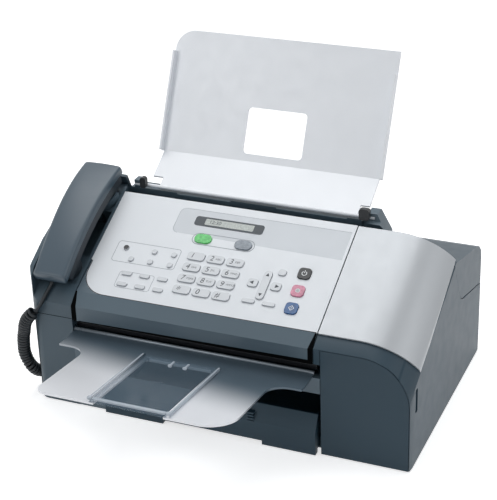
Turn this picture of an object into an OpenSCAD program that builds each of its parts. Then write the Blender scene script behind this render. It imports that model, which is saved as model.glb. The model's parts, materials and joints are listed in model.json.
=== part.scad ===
// Desktop fax machine with a side handset, a hinged control panel, a
// document support at the back, a document tray at the front, a paper
// cassette below and an ink bay behind a door on the right.
// Millimetres, +Z up, the front faces -Y. The origin lies on the floor
// under the middle of the overall outline.

/* [Casing] */
// Width of the casing
body_w = 376; // [370:1:392]
// Depth of the casing
body_d = 230; // [226:1:244]
// Width of the ink column on the right
column_w = 90; // [86:1:96]
// Width of the handset cradle on the left
cradle_w = 46; // [44:1:50]
// Thickness of the moulded walls
wall = 2.5; // [2:0.1:3]
// Height of the top edge at the back
rear_edge_z = 125; // [118:1:132]
// Radius of the upright corners on the left
corner_r = 12; // [8:1:14]
// Radius of the upright corners on the right
column_corner_r = 1.5; // [1:0.5:3]
// Gap below the walls above the floor
skirt_gap = 1; // [0.6:0.1:1.6]
// Gap at seams between pieces that move apart
seam = 0.5; // [0.4:0.1:0.7]

/* [Control panel] */
// Height of the panel's front edge
panel_z = 119; // [116:1:124]
// Distance of the panel's front edge behind the front face
panel_setback = 11.4; // [10:0.2:13]
// Slope of the panel in degrees
panel_tilt = 26.3; // [24:0.1:28]
// Length of the panel along its slope
panel_len = 123; // [121:1:127]
// Depth of the hinged panel below its face
panel_depth = 12; // [11:0.5:13]
// Thickness of the silver face
face_t = 1.6; // [1.2:0.1:2]
// Radius of the face's front left corner
face_corner_r = 26; // [18:1:30]
// Height of the edge below the sloped band at the front
band_z = 108.6; // [107:0.2:110]
// Height of the lower edge of the hinged panel
fascia_z = 93.5; // [92:0.5:95]
// Radius of the panel's hinge pins
hinge_pin_r = 2; // [1.6:0.1:2.2]

/* [Keys] */
// Height of a key above the face
key_rise = 1.4; // [1:0.1:2]
// Travel of a key
key_travel = 1.2; // [0.8:0.1:1.4]
// Gap around a key
key_gap = 0.3; // [0.2:0.05:0.4]
// Width of a number key
digit_w = 17; // [15:0.5:18]
// Length of a number key up the slope
digit_h = 8.6; // [7.5:0.1:9.5]
// Pitch of the number keys across the panel
digit_pitch_x = 19.7; // [19.4:0.1:20.4]
// Pitch of the number keys up the slope
digit_pitch_v = 13; // [12.4:0.1:13.4]
// Width of the oval mode keys
mode_w = 17; // [15:0.5:18]
// Size of the square command keys
command_size = 12; // [10:0.5:13]
// Diameter of the small round keys
round_d = 5.2; // [4.4:0.1:6]

/* [Handset] */
// Width of the handset
handset_w = 34; // [32:0.5:35]
// Length of the handset
handset_len = 131; // [126:1:133]
// Radius of the handset's arched back
handset_arc = 260; // [240:5:300]
// Thickness of the grip
grip_t = 18; // [16:0.5:20]

/* [Ink column] */
// Radius of the arched silver cover
arch_r = 60; // [56:1:62]
// Radius of the arch on the ink door
door_arch_r = 44; // [40:1:46]
// Thickness of the silver cover
cover_t = 2; // [1.6:0.1:2.4]
// Width of one ink cartridge
ink_w = 15; // [13:0.5:16]

/* [Trays and paper] */
// Reach of the document tray in front of the casing
tray_reach = 128; // [120:1:136]
// Height of the document tray at the casing
tray_z = 82.5; // [81:0.5:84]
// Thickness of the document tray
tray_t = 2; // [1.6:0.1:2.6]
// Width of the clear extension plate
extension_w = 72; // [60:1:80]
// Outer width of the paper cassette
cassette_w = 213; // [206:1:215]
// Depth of the paper cassette
cassette_d = 196; // [180:1:200]
// Height of the cassette's front
cassette_h = 40; // [38:0.5:42]
// Width of the document support
support_w = 230; // [224:1:234]
// Length of the support's lower part
support_low = 44; // [42:1:50]
// Length of the support's upper part
support_high = 121; // [110:1:126]
// Slope of the support's lower part in degrees
support_low_tilt = 30; // [28:1:34]
// Slope of the support's upper part in degrees
support_high_tilt = 64; // [62:1:70]
// Thickness of the support
support_t = 2; // [1.6:0.1:2.4]

/* [Rollers and rod] */
// Radius of the print carriage's guide rod
rod_r = 4; // [3:0.5:5]
// Radius of the roller shafts
shaft_r = 3; // [2.5:0.5:3.5]
// Radius of the paper pick-up roller
pick_r = 10; // [9:0.5:11]
// Radius of the document feed rollers
feed_r = 8; // [7:0.5:9]
// Running clearance of shafts and pins, radial
running = 0.05; // [0.03:0.01:0.08]

/* [Curly cord] */
// Outer diameter of the coil
coil_d = 12.6; // [11:0.2:12.8]
// Diameter of the cord itself
cord_d = 2.8; // [2.4:0.1:3.2]

/* [Hidden] */
$fn = 48;

// Places across: casing sides and the seams of cradle and column
right_x = body_w / 2;
left_x = -body_w / 2;
seam_x = right_x - column_w;
panel_left = left_x + cradle_w;
panel_w = seam_x - panel_left;
// Places along: front face and back wall, with the tray in the outline
front_y = (tray_reach - body_d) / 2;
back_y = front_y + body_d;
panel_y = front_y + panel_setback;
// Pivot of the document tray, inside its rolled lip
tray_pin_y = front_y + 4.8;
tray_pin_z = tray_z + 2.5;
tray_pin_r = 1.5;
lip_r = 3.2;

// Colours
dark = [0.27, 0.33, 0.38];
grey = [0.42, 0.48, 0.53];
silver = [0.84, 0.86, 0.88];
black = [0.08, 0.08, 0.09];
clear = [0.75, 0.8, 0.85, 0.5];
rubber = [0.15, 0.15, 0.16];

// Children drawn in panel coordinates: X across, Y up the slope from the
// front edge, Z out of the face
module on_panel() {
    translate([0, panel_y, panel_z]) rotate([panel_tilt, 0, 0]) children();
}
// Panel coordinates [v, w] of a point given in the part's own [y, z]
function to_panel(y, z) = [
    (y - panel_y) * cos(panel_tilt) + (z - panel_z) * sin(panel_tilt),
    -(y - panel_y) * sin(panel_tilt) + (z - panel_z) * cos(panel_tilt)
];
// The part's own [y, z] of a point given in panel coordinates [v, w]
function from_panel(v, w) = [
    panel_y + v * cos(panel_tilt) - w * sin(panel_tilt),
    panel_z + v * sin(panel_tilt) + w * cos(panel_tilt)
];
// A side profile of [y, z] points drawn out from x0 to x1
module side_slab(x0, x1, points) {
    translate([x0, 0, 0]) rotate([90, 0, 90]) linear_extrude(x1 - x0) polygon(points);
}
// A rod along X
module rod(x0, x1, y, z, r) {
    translate([x0, y, z]) rotate([0, 90, 0]) cylinder(h = x1 - x0, r = r);
}
// A block given by its two corners
module block(a, b) {
    translate(a) cube(b - a);
}
// A flat rounded plate in the XY plane, centred
module rounded(w, h, r, t) {
    linear_extrude(t) rounded_outline(w, h, r);
}
module rounded_outline(w, h, r) {
    square([w, h - 2 * r], center = true);
    square([w - 2 * r, h], center = true);
    for (x = [-1, 1], y = [-1, 1]) translate([x * (w / 2 - r), y * (h / 2 - r)]) circle(r);
}

// ---------------------------------------------------------------- casing

// Plan of the casing's rounded upright corners, cut by each housing
module plan(x0, x1, inset, left_r, right_r) {
    difference() {
        translate([x0, front_y + inset]) square([x1 - x0, body_d - 2 * inset]);
        for (side = [0, 1], end = [0, 1]) {
            r = (side == 0 ? left_r : right_r) - inset;
            if (r > 0) corner_nick(side == 0 ? x0 : x1, end == 0 ? front_y + inset : back_y - inset,
                                   r, side == 0 ? 1 : -1, end == 0 ? 1 : -1);
        }
    }
}
module corner_nick(x, y, r, sx, sy) {
    translate([x, y]) scale_mirror(sx, sy) difference() {
        translate([-1, -1]) square(r + 1);
        translate([r, r]) circle(r);
    }
}
module scale_mirror(sx, sy) {
    mirror([sx < 0 ? 1 : 0, 0]) mirror([0, sy < 0 ? 1 : 0]) children();
}

// Solid of the ink column: arch swept up the slope, and the back part
module column_solid(inset, x0) {
    x1 = right_x - inset;
    intersection() {
        union() {
            on_panel() translate([0, panel_len - inset, 0]) rotate([90, 0, 0])
                linear_extrude(panel_len - inset + slope_run_out)
                    arch(x0, x1, arch_r - cover_t - inset, -cover_t - inset);
            side_slab(x0, x1, column_back(inset));
        }
        translate([0, 0, skirt_gap]) linear_extrude(panel_z + panel_len)
            plan(x0, x1, inset, 0, column_corner_r);
        union() {
            front_band(inset, x0);
            block([x0, panel_y + inset, 0], [x1, back_y, panel_z + panel_len]);
        }
    }
}
// Chamfer that runs round the arch, from the cover's edge to the door's
module front_band(inset, x0) hull() {
    translate([0, panel_y + inset, 0]) rotate([90, 0, 0]) linear_extrude(0.01)
        translate([0, panel_z]) scale([1, 1 / cos(panel_tilt)])
            arch(x0, right_x - inset + band_proud, arch_r - cover_t - inset + band_proud,
                 band_proud - cover_t - inset);
    translate([0, front_y + inset + 0.01, 0]) rotate([90, 0, 0]) linear_extrude(0.01)
        door_arch(x0, door_arch_r + door_rim - inset);
}
// Arch round the ink door in [x, z]: flat top, quarter round, straight side
module door_arch(x0, r) {
    translate([x0, 0]) square([door_arch_x - x0, door_arch_z + r]);
    translate([x0, 0]) square([door_arch_x - x0 + r, door_arch_z]);
    translate([door_arch_x, door_arch_z]) circle(r);
}
door_rim = 0.9;
band_proud = 0.5;
door_arch_x = right_x - 1.8 - door_arch_r;
door_arch_z = band_z - door_arch_r;
slope_run_out = 90;
// Arch in [x, w]: flat top, then a quarter round down to the right side
module arch(x0, x1, r, top) {
    centre_x = right_x - (arch_r - arch_overlap);
    intersection() {
        union() {
            translate([x0, top - panel_z * 3]) square([centre_x - x0, panel_z * 3]);
            translate([centre_x, top - r]) circle(r, $fn = 96);
            translate([x0, top - panel_z * 3]) square([x1 - x0, panel_z * 3 - r]);
        }
        translate([x0, top - panel_z * 3]) square([x1 - x0, panel_z * 3]);
    }
}
arch_overlap = 8;
// Back of the column below the arch's rear end, as [y, z] points
column_shoulder = from_panel(panel_len, -34.6);
function column_back(inset) = [
    [column_shoulder[0], skirt_gap], [column_shoulder[0], column_shoulder[1] - inset],
    [back_y - 21, rear_edge_z - inset],
    [back_y - 10, rear_edge_z - 4 - inset], [back_y - 2, rear_edge_z - 12 - inset],
    [back_y - inset, rear_edge_z - 24], [back_y - inset, skirt_gap]
];

// Height of the column's top along its back slope
function column_top(y) = column_shoulder[1] + (y - column_shoulder[0])
    * (rear_edge_z - column_shoulder[1]) / (back_y - 21 - column_shoulder[0]);

// Ink bay: the space behind the ink door
column_inner_x = seam_x + 6;
bay_x0 = column_inner_x + wall + 0.5;
bay_x1 = right_x - wall - 2;
bay_back = front_y + 96;
bay_floor = 26;
bay_top = 94;
// The column is narrower below this height, beside cassette and tray
column_step_z = 94;
module column_step(inset) {
    block([seam_x - 1, front_y - 1, -1],
          [column_inner_x + inset, front_y + cassette_d + 3 + inset, column_step_z + inset]);
}
module right_housing() color(dark) difference() {
    union() {
        difference() {
            column_solid(0, seam_x + seam / 2);
            column_step(0);
            difference() {
                column_solid(wall, seam_x + seam / 2 + wall);
                column_step(wall);
            }
            // room for the foot of the door as it swings in
            block([door_x0 - door_gap, front_y + door_t, 0],
                  [door_x1 + door_gap, door_pin_y + door_pin_z + 1, door_pin_z]);
        }
        // dock of the cartridges: back wall and shelf
        block([column_inner_x + 1, bay_back, base_top], [right_x - 1, bay_back + wall, bay_top + wall]);
        block([column_inner_x + 1, front_y + door_t + 1, bay_floor - wall],
              [right_x - 1, bay_back + 1, bay_floor]);
        // lugs that carry the door
        for (x = door_lugs) difference() {
            union() {
                rod(x, x + lug_w, door_pin_y, door_pin_z, door_pin_r + 1.1);
                block([x, door_pin_y - 1, door_pin_z + 1],
                      [x + lug_w, door_pin_y + door_pin_r + 1.1, bay_floor - wall + 0.5]);
            }
        }
    }
    // opening for the ink door
    translate([0, front_y + door_t + 0.4, 0]) rotate([90, 0, 0])
        linear_extrude(door_t * 2) door_outline(door_gap);
    translate([0, front_y + wall * 2, 0]) rotate([90, 0, 0])
        linear_extrude(wall * 3) door_outline(-4);
    // bores for the door's hinge pins, the guide rod, the roller and the tray
    for (x = door_lugs) rod(x - 1, x + lug_w + 1, door_pin_y, door_pin_z, door_pin_r + running);
    rod(column_inner_x - 1, column_inner_x + wall + 1, rod_y, rod_z, rod_r);
    rod(column_inner_x - 1, column_inner_x + wall + 1, pick_y, pick_z, shaft_r + running);
    rod(column_inner_x - 1, column_inner_x + wall + 1, tray_pin_y, tray_pin_z, tray_pin_r + running);
    on_panel() rod(seam_x - 1, seam_x + pin_len + 1, panel_len - hinge_in, hinge_w, hinge_pin_r + running);
    // finger notch beside the door
    on_side(1.2) translate([front_y + 16, 66]) rounded_outline(6, 24, 2);
    // rear flap on the right side, with a dark seam along its front edge
    on_side(flap_in) polygon(flap_outline);
    on_side(flap_in + 0.9) difference() {
        polygon(flap_outline);
        translate([1, 0.5]) polygon(flap_outline);
    }
    // the base pan fits inside
    block([seam_x, front_y + 4, 0], [right_x - wall - 0.1, back_y - wall - 0.1, base_top + 0.01]);
}
// Cut of a given depth into the right side, drawn in [y, z]
module on_side(depth) {
    translate([right_x - depth, 0, 0]) rotate([90, 0, 90]) linear_extrude(depth + 1) children();
}
flap_in = 0.4;
flap_outline = [
    [front_y + 128, 147], [front_y + 151.5, 100.7], [front_y + 155, 96], [front_y + 161, 92.7],
    [back_y + 1, 76], [back_y + 1, rear_edge_z + 10], [back_y - 25, rear_edge_z + 20]
];

// Ink door: outline in [x, z]
door_gap = 0.5;
door_t = 2.4;
door_x0 = column_inner_x + 0.5;
door_x1 = right_x - 1.8;
door_top = band_z;
door_pin_r = 1.5;
door_pin_y = front_y + 5.4;
door_pin_z = 15.5;
lug_w = 4;
door_lugs = [door_x0 + 14, door_x1 - 14 - lug_w];
module door_outline(grow) {
    r = door_arch_r + grow;
    cx = door_x1 - door_arch_r;
    cz = door_top - door_arch_r;
    translate([door_x0 - grow, skirt_gap - (grow > 0 ? 4 : grow)])
        square([cx - door_x0 + grow, door_top - skirt_gap + (grow > 0 ? 4 : grow) + grow]);
    translate([door_x0 - grow, skirt_gap - (grow > 0 ? 4 : grow)])
        square([door_x1 - door_x0 + 2 * grow, cz - skirt_gap + (grow > 0 ? 4 : grow)]);
    intersection() {
        translate([cx, cz]) circle(r, $fn = 96);
        translate([cx - 1, cz - 1]) square(r + 2);
    }
}
module ink_door() color(dark) {
    translate([0, front_y + door_t, 0]) rotate([90, 0, 0]) linear_extrude(door_t) door_outline(0);
    // arms with the hinge pins
    for (x = door_lugs) {
        block([x - arm_w - 0.3, front_y + door_t - 0.5, door_pin_z - 2],
              [x - 0.3, door_pin_y + 1.5, door_pin_z + 2]);
        rod(x - arm_w, x + lug_w - 0.2, door_pin_y, door_pin_z, door_pin_r);
    }
    // catch at the top
    block([door_x0 + 20, front_y + door_t - 0.5, bay_top - 12], [door_x0 + 30, front_y + 5.5, bay_top - 10]);
}
arm_w = 3;

// Four cartridges side by side in the bay
module ink_cartridges() color(black) {
    pitch = (bay_x1 - bay_x0) / 4;
    for (i = [0:3]) {
        x = bay_x0 + pitch * (i + 0.5) - ink_w / 2;
        difference() {
            block([x, front_y + 16, bay_floor], [x + ink_w, bay_back - 0.3, bay_top - 6]);
            block([x - 1, front_y + 15, bay_top - 16], [x + ink_w + 1, front_y + 24, bay_top]);
        }
        block([x + 4, front_y + 10, bay_floor + 24], [x + ink_w - 4, front_y + 17, bay_floor + 34]);
    }
}

// Silver cover over the ink column
module column_cover() color(silver) on_panel() difference() {
    translate([0, panel_len, 0]) rotate([90, 0, 0]) linear_extrude(panel_len) difference() {
        arch(seam_x + seam, right_x, arch_r, 0);
        arch(seam_x + seam - 1, right_x + 1, arch_r - cover_t, -cover_t);
        translate([seam_x - 1, -arch_r - 200]) square([column_w + 2, arch_r + 200 - 36]);
    }
    // lower edge rises from front to back
    rotate([0, 0, 0]) translate([right_x - 12, 0, -36]) rotate([90, 0, 90])
        linear_extrude(20) polygon([[-5, -5], [-5, 0], [panel_len + 5, 6.8], [panel_len + 5, -5]]);
}

// ------------------------------------------------------------ left column

// Cradle: trough for the handset, in panel coordinates
trough_x0 = left_x + 4.5;
trough_x1 = panel_left - 3.5;
trough_deep = 20;
seat_w = -3;
handset_v0 = 4;
handset_x = (trough_x0 + trough_x1) / 2;
cap_r = 16;
mouth_v = handset_v0 + 4 + cap_r;
ear_v = handset_v0 + handset_len - 3 - cap_r;

// Side outline of the cradle column, [y, z]
back_outline = [
    [back_y - 21, rear_edge_z], [back_y - 10, rear_edge_z - 4], [back_y - 2, rear_edge_z - 12],
    [back_y, rear_edge_z - 24], [back_y, skirt_gap]
];
deck_outline = concat(
    [[front_y, skirt_gap], [front_y, band_z], [panel_y, panel_z], from_panel(panel_len + 6, 0)],
    back_outline
);
// Outline of the cheek outside the handset, higher at the front
cheek_outline = concat(
    [[front_y, skirt_gap], [front_y, band_z], [front_y + 1, band_z + 13], from_panel(-1, 15),
     from_panel(6, 19), from_panel(24, 20), from_panel(37, 21), from_panel(80, 17),
     from_panel(panel_len + 4, 8)],
    back_outline
);
socket_len = 36;
socket_in = 7.4;
module left_housing() color(dark) difference() {
    union() {
        difference() {
            intersection() {
                union() {
                    side_slab(left_x, panel_left - seam, deck_outline);
                    side_slab(left_x, trough_x0, cheek_outline);
                }
                translate([0, 0, skirt_gap]) linear_extrude(panel_z + panel_len)
                    plan(left_x, panel_left - seam, 0, corner_r, 0);
            }
            // inside of the column
            side_slab(left_x + wall, panel_left - seam - wall, [
                [front_y + wall, 0], [front_y + wall, band_z - wall - 16],
                from_panel(6, -trough_deep - wall), from_panel(panel_len - 4, -trough_deep - wall),
                [back_y - 24, rear_edge_z - wall * 2], [back_y - wall, rear_edge_z - 30],
                [back_y - wall, 0]
            ]);
            // trough under the handset
            on_panel() block([trough_x0, socket_in, -trough_deep], [trough_x1, panel_len + 30, 60]);
        }
        // raised seats for the mouth and ear pieces
        on_panel() for (v = [socket_in - 1, ear_v - socket_len / 2])
            block([trough_x0 - 0.5, v, -trough_deep - 0.5], [trough_x1 + 0.5, v + socket_len, seat_w]);
        // rear wall of the trough and the curved rib round the earpiece
        on_panel() block([trough_x0 - 0.5, handset_v0 + handset_len + 1, -trough_deep - 0.5],
                         [trough_x1 + 0.5, handset_v0 + handset_len + 4, 6]);
        on_panel() intersection() {
            translate([handset_x, ear_v, -trough_deep]) difference() {
                cylinder(h = trough_deep + 6, r = cap_r + 3.4);
                translate([0, 0, -1]) cylinder(h = trough_deep + 9, r = cap_r + 1);
            }
            block([trough_x0 - 0.5, ear_v - 22, -trough_deep - 1], [trough_x1 + 0.5, ear_v, 10]);
        }
    }
    // hook switch opening, hinge bore, rod, roller and cord jack
    on_panel() block([hook_x - 4.4, hook_v - 3.4, -trough_deep - 5], [hook_x + 4.4, hook_v + 3.4, 5]);
    on_panel() rod(panel_left - pin_len - 1, panel_left + 1, panel_len - hinge_in, hinge_w,
                   hinge_pin_r + running);
    rod(panel_left - wall - 2, panel_left + 1, rod_y, rod_z, rod_r);
    rod(panel_left - wall - 2, panel_left + 1, pick_y, pick_z, shaft_r + running);
    rod(panel_left - wall - 2, panel_left + 1, tray_pin_y, tray_pin_z, tray_pin_r + running);
    block([left_x - 1, jack_y - jack_w / 2, jack_z - jack_h / 2],
          [left_x + wall + 1, jack_y + jack_w / 2, jack_z + jack_h / 2]);
    block([left_x + wall + 0.1, front_y + 4, 0], [panel_left, back_y - wall - 0.1, base_top + 0.01]);
}
hook_x = (trough_x0 + trough_x1) / 2;
hook_v = ear_v;

// Plunger that the earpiece holds down
module hook_switch() color(rubber) on_panel() {
    block([hook_x - 4, hook_v - 3, seat_w - 9], [hook_x + 4, hook_v + 3, seat_w + hook_out]);
}
hook_out = 0.3;

// --------------------------------------------------------------- handset

handset_top = 21;
handset_mid = handset_v0 + handset_len / 2;
handset_rise = handset_arc - sqrt(pow(handset_arc, 2) - pow(handset_len / 2, 2));
handset_centre = handset_top + handset_rise - handset_arc;
shell_t = 9;
// Ring sector about the arch's centre, from radius r0 to r1
module handset_arch(r0, r1, width, round_r) {
    half = asin(handset_len / 2 / handset_arc);
    translate([handset_x, handset_mid, handset_centre]) rotate([0, -90, 0])
        rotate([0, 0, -half]) rotate_extrude(angle = 2 * half, $fn = 360)
            difference() {
                translate([r0, -width / 2]) square([r1 - r0, width]);
                if (round_r > 0) for (s = [-1, 1]) translate([r1, s * width / 2]) rotate(45)
                    square(round_r, center = true);
            }
}
module handset_shell() color(dark) on_panel() handset_arch(handset_arc - shell_t, handset_arc, handset_w, 4);
module handset_base() color(dark) on_panel() {
    handset_arch(handset_arc - grip_t, handset_arc - shell_t, handset_w - 1, 0);
    // round mouth and ear pieces
    for (v = [mouth_v, ear_v]) intersection() {
        translate([handset_x, v, seat_w + 0.6]) cylinder(h = handset_top, r = cap_r);
        translate([handset_x, handset_mid, handset_centre]) rotate([0, 90, 0])
            cylinder(h = handset_w, r = handset_arc - shell_t, center = true, $fn = 360);
    }
}

// ------------------------------------------------------------ curly cord

// Route of the straight lead, the coil and the straight tail, [x, y, z]
// from the casing's left front corner at the floor
corner = [left_x, front_y, 0];
lead_route = [
    [21, 15.3, 128.1], [21, 12, 125.1], [20.6, 9.4, 121.6], [19, 5.5, 117.4],
    [17.5, 1.2, 112.8], [16, -3, 108], [14, -6, 104], [12, -7, 101]
];
coil_route = [
    [12, -7, 101], [7, -7.6, 97], [1, -6.5, 90.5], [-4, -4, 82], [-8, 0, 73], [-11, 2, 64],
    [-13, 4, 55], [-14.5, 6, 46], [-14, 8, 37], [-11, 10, 28], [-9, 17, 19], [-8, 28, 13],
    [-8, 40, 11], [-8, 52, 13]
];
tail_route = [[-8, 52, 13], [-7, 58, 14], [-6, 63, 17], [-6, 64, 20], [-6, 64, 23.9]];
// Sweep of a round section along a route
function direction(p, i) =
    let (a = p[max(i - 1, 0)], b = p[min(i + 1, len(p) - 1)]) (b - a) / norm(b - a);
function frame_side(d) = let (s = cross(d, [0, 0, 1])) norm(s) > 0.2 ? s / norm(s) : [1, 0, 0];
function ring(p, i, r, n) =
    let (d = direction(p, i), u = frame_side(d), v = cross(u, d))
    [for (k = [0:n - 1]) p[i] + r * (u * cos(360 * k / n) + v * sin(360 * k / n))];
module tube(points, r, n) {
    rings = len(points);
    vertices = [for (i = [0:rings - 1]) each ring(points, i, r, n)];
    sides = [for (i = [0:rings - 2], k = [0:n - 1])
        each [[i * n + k, (i + 1) * n + k, (i + 1) * n + (k + 1) % n],
              [i * n + k, (i + 1) * n + (k + 1) % n, i * n + (k + 1) % n]]];
    caps = [[for (k = [0:n - 1]) k], [for (k = [n - 1:-1:0]) (rings - 1) * n + k]];
    polyhedron(points = vertices, faces = concat(sides, caps));
}
// Points of a smooth curve through a route, steps per stretch
function spline(p, steps) = [
    for (i = [0:len(p) - 2], k = [0:steps - 1])
        let (t = k / steps, a = p[max(i - 1, 0)], b = p[i], c = p[i + 1], d = p[min(i + 2, len(p) - 1)])
        0.5 * ((2 * b) + (c - a) * t + (2 * a - 5 * b + 4 * c - d) * t * t
        + (3 * b - a - 3 * c + d) * t * t * t),
    p[len(p) - 1]
];
function placed(route) = [for (p = route) p + corner];
module cord_lead() color(black) tube(spline(placed(lead_route), 2), cord_d / 2, 8);
module cord_coil() color(black) tube(spline(placed(coil_route), 2), coil_d / 2, 12);
module cord_tail() color(black) tube(spline(placed(tail_route), 2), cord_d / 2, 8);

// Modular plug and the jack it goes in, on the cradle's side
jack_y = front_y + 66;
jack_z = 28;
jack_w = 14;
jack_h = 12;
module cord_plug() color(clear) {
    block([left_x - 8, jack_y - 4.5, jack_z - 4], [left_x + 3, jack_y + 4.5, jack_z + 4]);
}
module jack_block() color(black) difference() {
    block([left_x + 0.4, jack_y - jack_w / 2 + 0.2, jack_z - jack_h / 2 + 0.2],
          [left_x + 16, jack_y + jack_w / 2 - 0.2, jack_z + jack_h / 2 - 0.2]);
    block([left_x - 1, jack_y - 4.6, jack_z - 4.1], [left_x + 12, jack_y + 4.6, jack_z + 4.1]);
}

// ------------------------------------------------------------------ base

foot_h = 2;
base_bottom = foot_h;
base_top = 4.5;
foot_r = 9;
feet_at = [for (x = [left_x + 24, right_x - 24], y = [front_y + 30, back_y - 24]) [x, y]];
module base_pan() color(dark) {
    difference() {
        translate([0, 0, base_bottom]) linear_extrude(base_top - base_bottom) intersection() {
            plan(left_x + wall + 0.3, right_x - wall - 0.3, wall + 0.3, corner_r, 0);
            translate([left_x, front_y + 8]) square([body_w, body_d]);
        }
        for (p = feet_at) translate([p[0], p[1], base_bottom - 1]) cylinder(h = 2, r = foot_r);
        // room for the foot of the ink door
        block([column_inner_x - 1, front_y, 0], [right_x, door_pin_y + door_pin_z - 3, base_top + 1]);
    }
    // runners beside the cassette
    for (x = [cassette_x0 - 3.5, cassette_x1 + 0.8])
        block([x, front_y + 6, base_top - 0.01], [x + 2.7, front_y + cassette_d, base_top + 12]);
}
module feet() color(rubber) {
    for (p = feet_at) translate([p[0], p[1], 0]) cylinder(h = base_bottom + 1, r = foot_r - 0.3);
}

// Beam under the document slot and the apron beside the cassette
beam_z0 = 64;
beam_z1 = tray_z - tray_t - 0.5;
module front_beam() color(grey) {
    difference() {
        block([panel_left - seam, front_y, beam_z0], [column_inner_x, front_y + 8, beam_z1]);
        block([panel_left + 4, front_y + wall, beam_z0 - 1], [seam_x - 4, front_y + 9, beam_z1 - wall]);
    }
    block([panel_left - seam, front_y, skirt_gap], [cassette_x0 - 1, front_y + wall, beam_z0 + 1]);
}

// ----------------------------------------------------------- back housing

// The document throat lies between the panel's rear edge and the deck
throat = 8;
throat_top = from_panel(panel_len + throat, -1);
throat_low = from_panel(panel_len + throat, -panel_depth - 8);
feed_y = throat_top[0];
feed_z = from_panel(panel_len, 0)[1];
module rear_housing() color(grey) difference() {
    union() {
        side_slab(panel_left, seam_x, concat(rear_line(0), reversed(rear_line(wall))));
        // ears for the support's pivot, the right one with a slanted side
        block([panel_left + 4, feed_y + 4.6, feed_z - 4], [panel_left + 10, feed_y + 14, feed_z + 8]);
        block([seam_x - 6, feed_y + 5, feed_z - 6], [seam_x + 8, feed_y + 20, feed_z]);
        intersection() {
            translate([0, feed_y + 22, 0]) rotate([90, 0, 0]) linear_extrude(24) polygon([
                [seam_x + 4.6, feed_z - 34], [seam_x + 4.6, feed_z + 8], [seam_x + 14, feed_z + 8],
                [seam_x + 24, feed_z - 12], [seam_x + 24, feed_z - 34]
            ]);
            side_slab(seam_x - 5, seam_x + 25, [
                throat_top + [0, -3], [feed_y + 4.6, feed_z + 1], [feed_y + 5, feed_z + 9],
                [feed_y + 18, feed_z + 9],
                [feed_y + 22, column_top(feed_y + 22) + 0.3],
                [throat_low[0] + 4, column_top(throat_low[0] + 4) + 0.3],
                from_panel(panel_len + throat, -25)
            ]);
        }
    }
    // two wider stretches of the throat
    for (x = [[panel_left + 52, panel_left + 108], [seam_x - 85, seam_x - 14]])
        block([x[0], feed_y - 3, feed_z - 3], [x[1], feed_y + 1.6, feed_z + 5]);
    // pivot bore of the document support
    rod(panel_left - 1, seam_x + 12, support_y, support_z, support_pin_r + running);
}
// Line of throat wall, deck, back slope and back wall, at a depth below
function rear_line(inset) = [
    throat_low + [inset, 0], throat_top + [inset, -inset * 1.5], [feed_y + 2 + inset * 0.6, feed_z - inset],
    [feed_y + 20 - inset * 0.4, feed_z - inset], [back_y - 21 - inset * 0.7, rear_edge_z - inset * 0.8],
    [back_y - 10 - inset * 0.6, rear_edge_z - 4 - inset * 0.9],
    [back_y - 2 - inset, rear_edge_z - 12 - inset * 0.4], [back_y - inset, rear_edge_z - 24],
    [back_y - inset, skirt_gap]
];
function reversed(list) = [for (i = [len(list) - 1:-1:0]) list[i]];

// ------------------------------------------------------ document support

support_pin_r = 1.8;
support_y = feed_y + 6;
support_z = feed_z + 3.5;
support_x0 = seam_x + 6 - support_w;
support_x1 = seam_x + 6;
fold_y = support_y + support_low * cos(support_low_tilt);
fold_z = support_z + support_low * sin(support_low_tilt);
module document_support() color(silver) {
    translate([0, support_y, support_z]) rotate([support_low_tilt, 0, 0]) {
        block([support_x0 + 14, 0, -support_t], [support_x1 - 12, 14, 0]);
        block([support_x0 + 3, 12, -support_t], [support_x1 - 3, support_low, 0]);
    }
    translate([0, fold_y, fold_z]) rotate([support_high_tilt, 0, 0]) difference() {
        union() {
            block([support_x0, -0.6, -support_t], [support_x1, support_high, 0]);
            for (x = [support_x0, support_x1 - support_t])
                block([x, 0, -support_t], [x + support_t, support_high - 22, 7]);
        }
        translate([window_x, window_v, -10]) rounded(61, 45, 4, 20);
        translate([support_x0, support_high, -10]) corner_cut(20);
    }
    rod(panel_left + 4.5, seam_x + 11.5, support_y, support_z, support_pin_r);
}
window_x = seam_x - 107.5;
window_v = 30;
module corner_cut(r) {
    linear_extrude(20) difference() {
        translate([-1, -r]) square(r + 1);
        translate([r, -r]) circle(r);
    }
}

guide_h = 11;
// Document guides that slide along the throat's edge
module guide_at(x, w) {
    translate([x + w / 2, feed_y + 3.8, throat_top[1] + 0.3 + guide_h / 2]) rotate([90, 0, 0])
        rounded(w, guide_h, 2.4, 5.3);
}
module guide_left() color(black) guide_at(panel_left + 13, 6);
module guide_right() color(black) guide_at(seam_x - 2, 10);

// --------------------------------------------------------- document path

bed_w = -panel_depth - 2.5;
bed_t = 3;
bed_front_y = tray_pin_y + lip_r + 0.6;
feed_v = 92;
module scan_bed() color(black) difference() {
    union() {
        on_panel() translate([panel_left - seam, 0, 0]) rotate([90, 0, 90])
            linear_extrude(panel_w + 1.5 * seam) polygon([
                to_panel(bed_front_y, tray_z + 5), [8, bed_w], [panel_len + throat - 0.3, bed_w],
                [panel_len + throat - 0.3, bed_w - bed_t], [7, bed_w - bed_t], to_panel(bed_front_y, tray_z + 1)
            ]);
        on_panel() for (x = [panel_left + 6, seam_x - 9])
            block([x, feed_v - 14, bed_w - 18], [x + 3, feed_v + 14, bed_w - 1]);
    }
    on_panel() for (x = feed_places)
        block([x - 11, feed_v - feed_r - 1, bed_w - bed_t - 1], [x + 11, feed_v + feed_r + 1, bed_w + 1]);
    on_panel() rod(panel_left, seam_x, feed_v, feed_w, shaft_r + running);
    on_panel() block([glass_x0, glass_v, bed_w - 1.5], [glass_x1, glass_v + 18, bed_w + 1]);
}
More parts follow.
